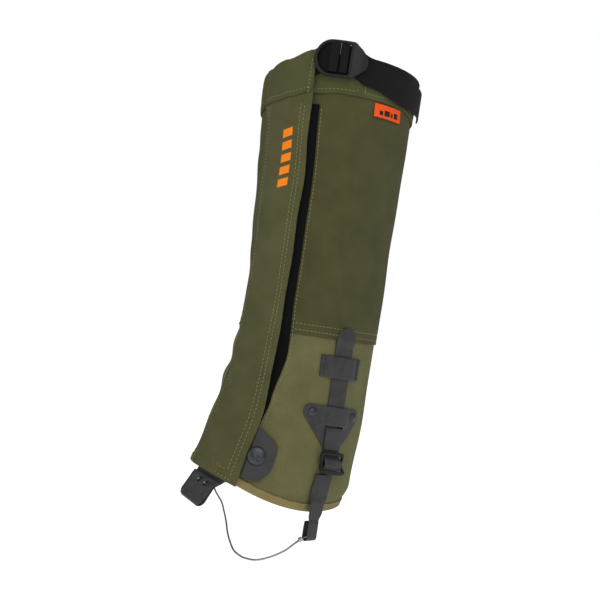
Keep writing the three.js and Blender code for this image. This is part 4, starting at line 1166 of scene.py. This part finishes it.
def lace_tab():
    """A coated strip folded back on itself, open as a small roll at the fold."""
    roll = [(26.1 + 2 * math.cos(a), 1.5 + 2.1 * math.sin(a)) for a in np.linspace(PI / 2.4, -PI / 2.4, 12)]
    path = resample([(4.5, 2.7), (9, 2.65), (14, 2.6), (19, 2.8), (23, 3.3), *roll, (23, -0.5), (19, -0.2),
                     (14, 0), (9, 0), (4, 0), (-1, 0), (-6.5, 0)], 90)
    rings, uvs = [], []
    for p, n in zip(path, sideways(steps(path))):
        half = LACE_HALF - 6 * (1 - math.sqrt(max(0, 1 - max(0, (p[0] - 21) / 7.6) ** 2)))
        x, t = rounded(2 * half, STRAP_T, 0.5)
        rings.append(lace_place(x, p[0] + n[0] * t, p[1] + n[1] * t))
        uvs.append(np.stack([x, np.full(len(x), p[0])], 1))
    obj = loft("lace_tab_coated", rings, COATED, uvs)
    for middle in LACE_SLOTS:
        verts, faces = rect(middle - 1.1, 6.5, middle + 1.1, 11.5, -3, 6)
        cut_out(obj, piece("cutter", lace_place(*np.array(verts).T), faces, COATED))
    settle(obj, "lace", "lace_tab")


lace_tab()

# ---- cuff strap and buckle

WEB_T = 1.2
INNER_T = CUFF_OUT + 0.3 + WEB_T / 2
TAIL_T = INNER_T + WEB_T + 0.35
FIXED_LINE = [(-30, 4.0), (-22, 4.0), (-14, 4.1), (-8, 4.3), (-4.5, 4.5), (-2.95, 5.6), (-2.8, 8.2),
              (-3.2, 10.2), (-5.0, 10.75), (-8.0, 10.7), (-9.8, 9.8), (-12, 7.7), (-15.5, 5.9), (-19, 5.4),
              (-21, 5.35)]
TURN_LINE = [(6.8, INNER_T), (3, INNER_T), (0.6, 4.6), (-1.1, 5.8), (-1.35, 8.6), (-0.4, 10.3), (1.6, 10.95),
             (3.6, 10.9), (4.8, 10.1), (5.1, 8.4), (5.3, 6.9), (5.9, 6.1), (6.8, TAIL_T + 0.1)]
MAIN_LINE = [(s, INNER_T) for s in (7.7, 20, 60, 100, 140, 179)]
END_LINE = [(s, TAIL_T + rise) for s, rise in ((7.7, 0), (20, 0), (50, 0), (80, 0.1), (100, 0.9), (115, 1.6),
                                               (128, 1.9))]


def web(name, line, body, node, count, drop=0.0, width=25.6, lift=0.0):
    """Cuff webbing, which rises to the buckle. Drop lowers its free end, and lift raises all of it."""
    def place(s, w, t):
        rise = WEB_RISE * smooth(-28, -16, s) * (1 - smooth(9, 28, s))
        return on_cuff(s, WEB_Z + w + lift + rise - drop * smooth(22, 70, s), t)

    settle(ribbon(name, line, width, WEB_T, place, WEB, count, across=18), body, node)


web("cuff_strap_webbing", MAIN_LINE, "shell", "strap_webbing", 160)
web("cuff_strap_tail", END_LINE, "cuff_tail", "webbing_tail", 140, drop=7.5)
web("cuff_buckle_webbing", FIXED_LINE, "shell", "fixed_webbing", 110, width=26.4, lift=0.5)
web("cuff_strap_turn", TURN_LINE, "cuff_buckle", "webbing_turn", 90, width=26.4, lift=0.5)


def cuff_buckle():
    """Ladder buckle: round front rim, two bars and a solid pointed lip."""
    mid, high = WEB_Z + WEB_RISE, 14.9
    bow = [(-9 + 13 * math.cos(a), mid + high * math.sin(a), 8.6 + 1.1 * abs(math.cos(a)))
           for a in np.radians(np.linspace(-90, -270, 40))]
    parts = [rod([(-6, mid - high, 8.3), *bow, (-6, mid + high, 8.3)], 1.55)]
    for side in (-1, 1):
        y = mid + side * high
        parts.append(rod([(x, y, 8.3 + 0.5 * math.cos(x / 9)) for x in np.linspace(-10, 10, 24)], 1.6))
        parts.append(rect(-9, y - 1.1, 9, y + 1.1, 6.7, 9.4))
        slope = [(10 + 12 * k, mid + side * (15 - 10.4 * k), 8.7) for k in np.linspace(0, 1, 10)]
        parts.append(rod(slope, 1.2))
    for x, t, reach, radius in ((-5.9, 8.1, 14.8, 1.3), (2.4, 8.1, 14.8, 1.2), (7.6, 9.3, 14.6, 1.15)):
        parts.append(rod([(x, y, t) for y in np.linspace(mid - reach, mid + reach, 12)], radius))
    corner = [(6.5, 16), (10, 15.4), (17, 10.6), (22, 5), (23, 2)]
    lip = [(x, mid - y) for x, y in corner] + [(x, mid + y) for x, y in corner[::-1]]
    parts.append(prism(lip, 7.6, 9.9))
    place = lambda s, z, t: on_cuff(s, z, t - 0.9 * smooth(14, 23, s))
    obj = carve("cuff_buckle_moulded", parts, PLASTIC, place, 0.33, 3)
    settle(obj, "cuff_buckle", "top_buckle")


cuff_buckle()


def slide_buckle():
    """Slide buckle with waisted sides and a flared lower lip."""
    waist = [(12.2, 46.8, 4.9), (12.6, 43.6, 4.5), (11.8, 40.6, 4.2), (11.6, 38.4, 4.1), (12.4, 35.4, 4.6),
             (13.4, 32.9, 6.2), (13.8, 30.8, 7.2)]
    parts = [rod(resample(np.array(waist) * (side, 1, 1), 40), 1.45, squash=0.95) for side in (-1, 1)]
    parts.append(rod([(x, 46.8 + 0.4 * math.cos(x / 8), 5.0) for x in np.linspace(-12.4, 12.4, 30)], 1.5))
    lip = [(-13.9, 30.8), (-11, 31.9), (11, 31.9), (13.9, 30.8), (12.6, 29.5), (6, 28.9), (-6, 28.9),
           (-12.6, 29.5)]
    parts.append(prism(lip, 6.2, 8.0))
    parts.append(rod([(x, 31.7, 7.2) for x in np.linspace(-12.4, 12.4, 20)], 1.05))
    parts.append(rod([(x, 38, 3.05) for x in np.linspace(-12, 12, 16)], 0.85))
    obj = carve("slide_buckle_moulded", parts, PLASTIC, strap_place, 0.3, 2)
    settle(obj, "slide_buckle", "instep_buckle")


slide_buckle()

# ---- dark sewing on the fittings

z = np.linspace(114.4, 131.8, 30)
keeper_rows = [(strap_place(s, z, 1.35), strap_place(s, z, 2.3) - strap_place(s, z, 1.3))
               for s in (-19.2, 19.2)]
settle(stitches("dark_stitches", keeper_rows, BLACK_THREAD, 3.0, 2.1, 0.42, 0.0), "shell")
leg_rows = [(np.stack([np.full(14, LOOP_X + 3.5), np.linspace(-23, -13, 14), np.full(14, height)], 1),
             np.tile([1.0, 0, 0], (14, 1))) for height in (-12, -14.6)]
settle(stitches("leg_stitches", leg_rows, BLACK_THREAD, 2.4, 1.7, 0.25), "leg_strap")

# ---- metal

# profiles in (radius, height): a rivet head of unit size, and the snap's cap in mm
DOME = [(0, 0), (1, 0), (1.02, 0.12), (0.98, 0.26), (0.86, 0.5), (0.66, 0.74), (0.42, 0.9), (0.2, 0.98),
        (0, 1)]
CAP = [(0, -1.6), (1.7, -1.6), (1.7, 0.5), (7.5, 0.5), (7.85, 0.8), (7.9, 1.15), (7.6, 1.65), (6.9, 2.15),
       (5.7, 2.6), (4.2, 2.95), (2.2, 3.15), (0, 3.2)]
RIVET = [(4 * r, 1.9 * h) for r, h in DOME]
RIVET_Z, RIVET_REACH = 80.8, 25
MEDIAL_RIVET_Z, MEDIAL_REACH = 52, 12.5


def turned(name, profile, phi, z, off, body):
    """A round metal piece: its profile turned round the outward direction."""
    at, beside, above = (surface(phi + a, z + b, 0) for a, b in ((0, 0), (0.01, 0), (0, 1)))
    out = np.cross(beside - at, above - at)
    out /= np.linalg.norm(out)
    side = np.cross(out, (0, 0, 1.0))
    side /= np.linalg.norm(side)
    turns = np.linspace(0, 2 * PI, 56, endpoint=False)[:, None]
    ring = np.cos(turns) * side + np.sin(turns) * np.cross(out, side)
    rings = [at + out * (off + h) + max(r, 0.01) * ring for r, h in resample(profile, 40)]
    settle(loft(name + "_turned", rings, GUNMETAL), body, name)


turned("snap_cap", CAP, SNAP_PHI, SNAP_Z, TAB_T[1], "snap")
for name, side in (("front", -1), ("back", 1)):
    height = RIVET_Z + side * RIVET_REACH * float(table(STRAP_TILT, RIVET_Z))
    _, bf, _, cy = section(height)
    phi = float(walk(math.acos((cy - STRAP_Y) / bf), side * RIVET_REACH, height))
    turned("instep_rivet_" + name, RIVET, phi, height, 1.5, "shell")
for name, side in (("front", 1), ("back", -1)):
    phi = float(walk(MEDIAL_PHI, side * MEDIAL_REACH, MEDIAL_RIVET_Z))
    turned("medial_rivet_" + name, RIVET, phi, MEDIAL_RIVET_Z, 1.5, "shell")

FINISH = {
    GUNMETAL: ["snap_socket", "snap_stud", "snap_post", "instep_burr_front", "instep_burr_back",
               "medial_burr_front", "medial_burr_back"],
    STEEL: ["lace_hook", "ferrule_lateral", "ferrule_medial"],
}
for finish, names in FINISH.items():
    for name in names:
        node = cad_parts[name]
        node.data.materials.clear()
        node.data.materials.append(finish)
        bevel = node.modifiers.new("edge", "BEVEL")
        bevel.width = 0.12 * MM
        bevel.segments = 2
        bevel.limit_method = "ANGLE"
        bevel.angle_limit = math.radians(35)
        node.data.polygons.foreach_set("use_smooth", [True] * len(node.data.polygons))

# ---- floor and light

FLOOR_HALF, FLOOR_Z = 6.0, -0.1
FLOOR_GLOW, SKY_GLOW = 0.72, 0.42

floor_mesh = bpy.data.meshes.new("floor")
corners = [(x * FLOOR_HALF, y * FLOOR_HALF, FLOOR_Z) for x, y in ((-1, -1), (1, -1), (1, 1), (-1, 1))]
floor_mesh.from_pydata(corners, [], [(0, 1, 2, 3)])
floor_look = Look("floor_white", 0.9, spec=0.0)
for socket, value in (("Base Color", grey(0.9)), ("Emission Color", grey(1)),
                      ("Emission Strength", FLOOR_GLOW)):
    floor_look.shader.inputs[socket].default_value = value
floor_mesh.materials.append(floor_look.material)
link("floor", floor_mesh)

world = bpy.data.worlds.new("studio")
world.use_nodes = True
sky = world.node_tree
dim = sky.nodes["Background"]
dim.inputs["Color"].default_value = grey(1)
dim.inputs["Strength"].default_value = SKY_GLOW
bright = add(sky, "ShaderNodeBackground", Color=grey(1), Strength=1.0)
either = add(sky, "ShaderNodeMixShader", Fac=add(sky, "ShaderNodeLightPath").outputs["Is Camera Ray"])
sky.links.new(dim.outputs["Background"], either.inputs[1])
sky.links.new(bright.outputs["Background"], either.inputs[2])
sky.links.new(either.outputs["Shader"], sky.nodes["World Output"].inputs["Surface"])
bpy.context.scene.world = world


def light(name, where, size, power):
    data = bpy.data.lights.new(name, "AREA")
    data.size = size
    data.energy = power
    obj = link(name, data)
    obj.location = where
    obj.rotation_euler = (TARGET - Vector(where)).to_track_quat("-Z", "Y").to_euler()


light("key", TARGET + back * 1.1 + Vector((0.75, 0.72, 0)) * 0.35 + Vector((0, 0, 0.9)), 0.9, 9)
light("fill", TARGET + back * 0.9 - Vector((0.69, 0.72, 0)) * 0.9 + Vector((0, 0, 0.2)), 1.0, 3)
bpy.context.scene.view_settings.view_transform = "Standard"
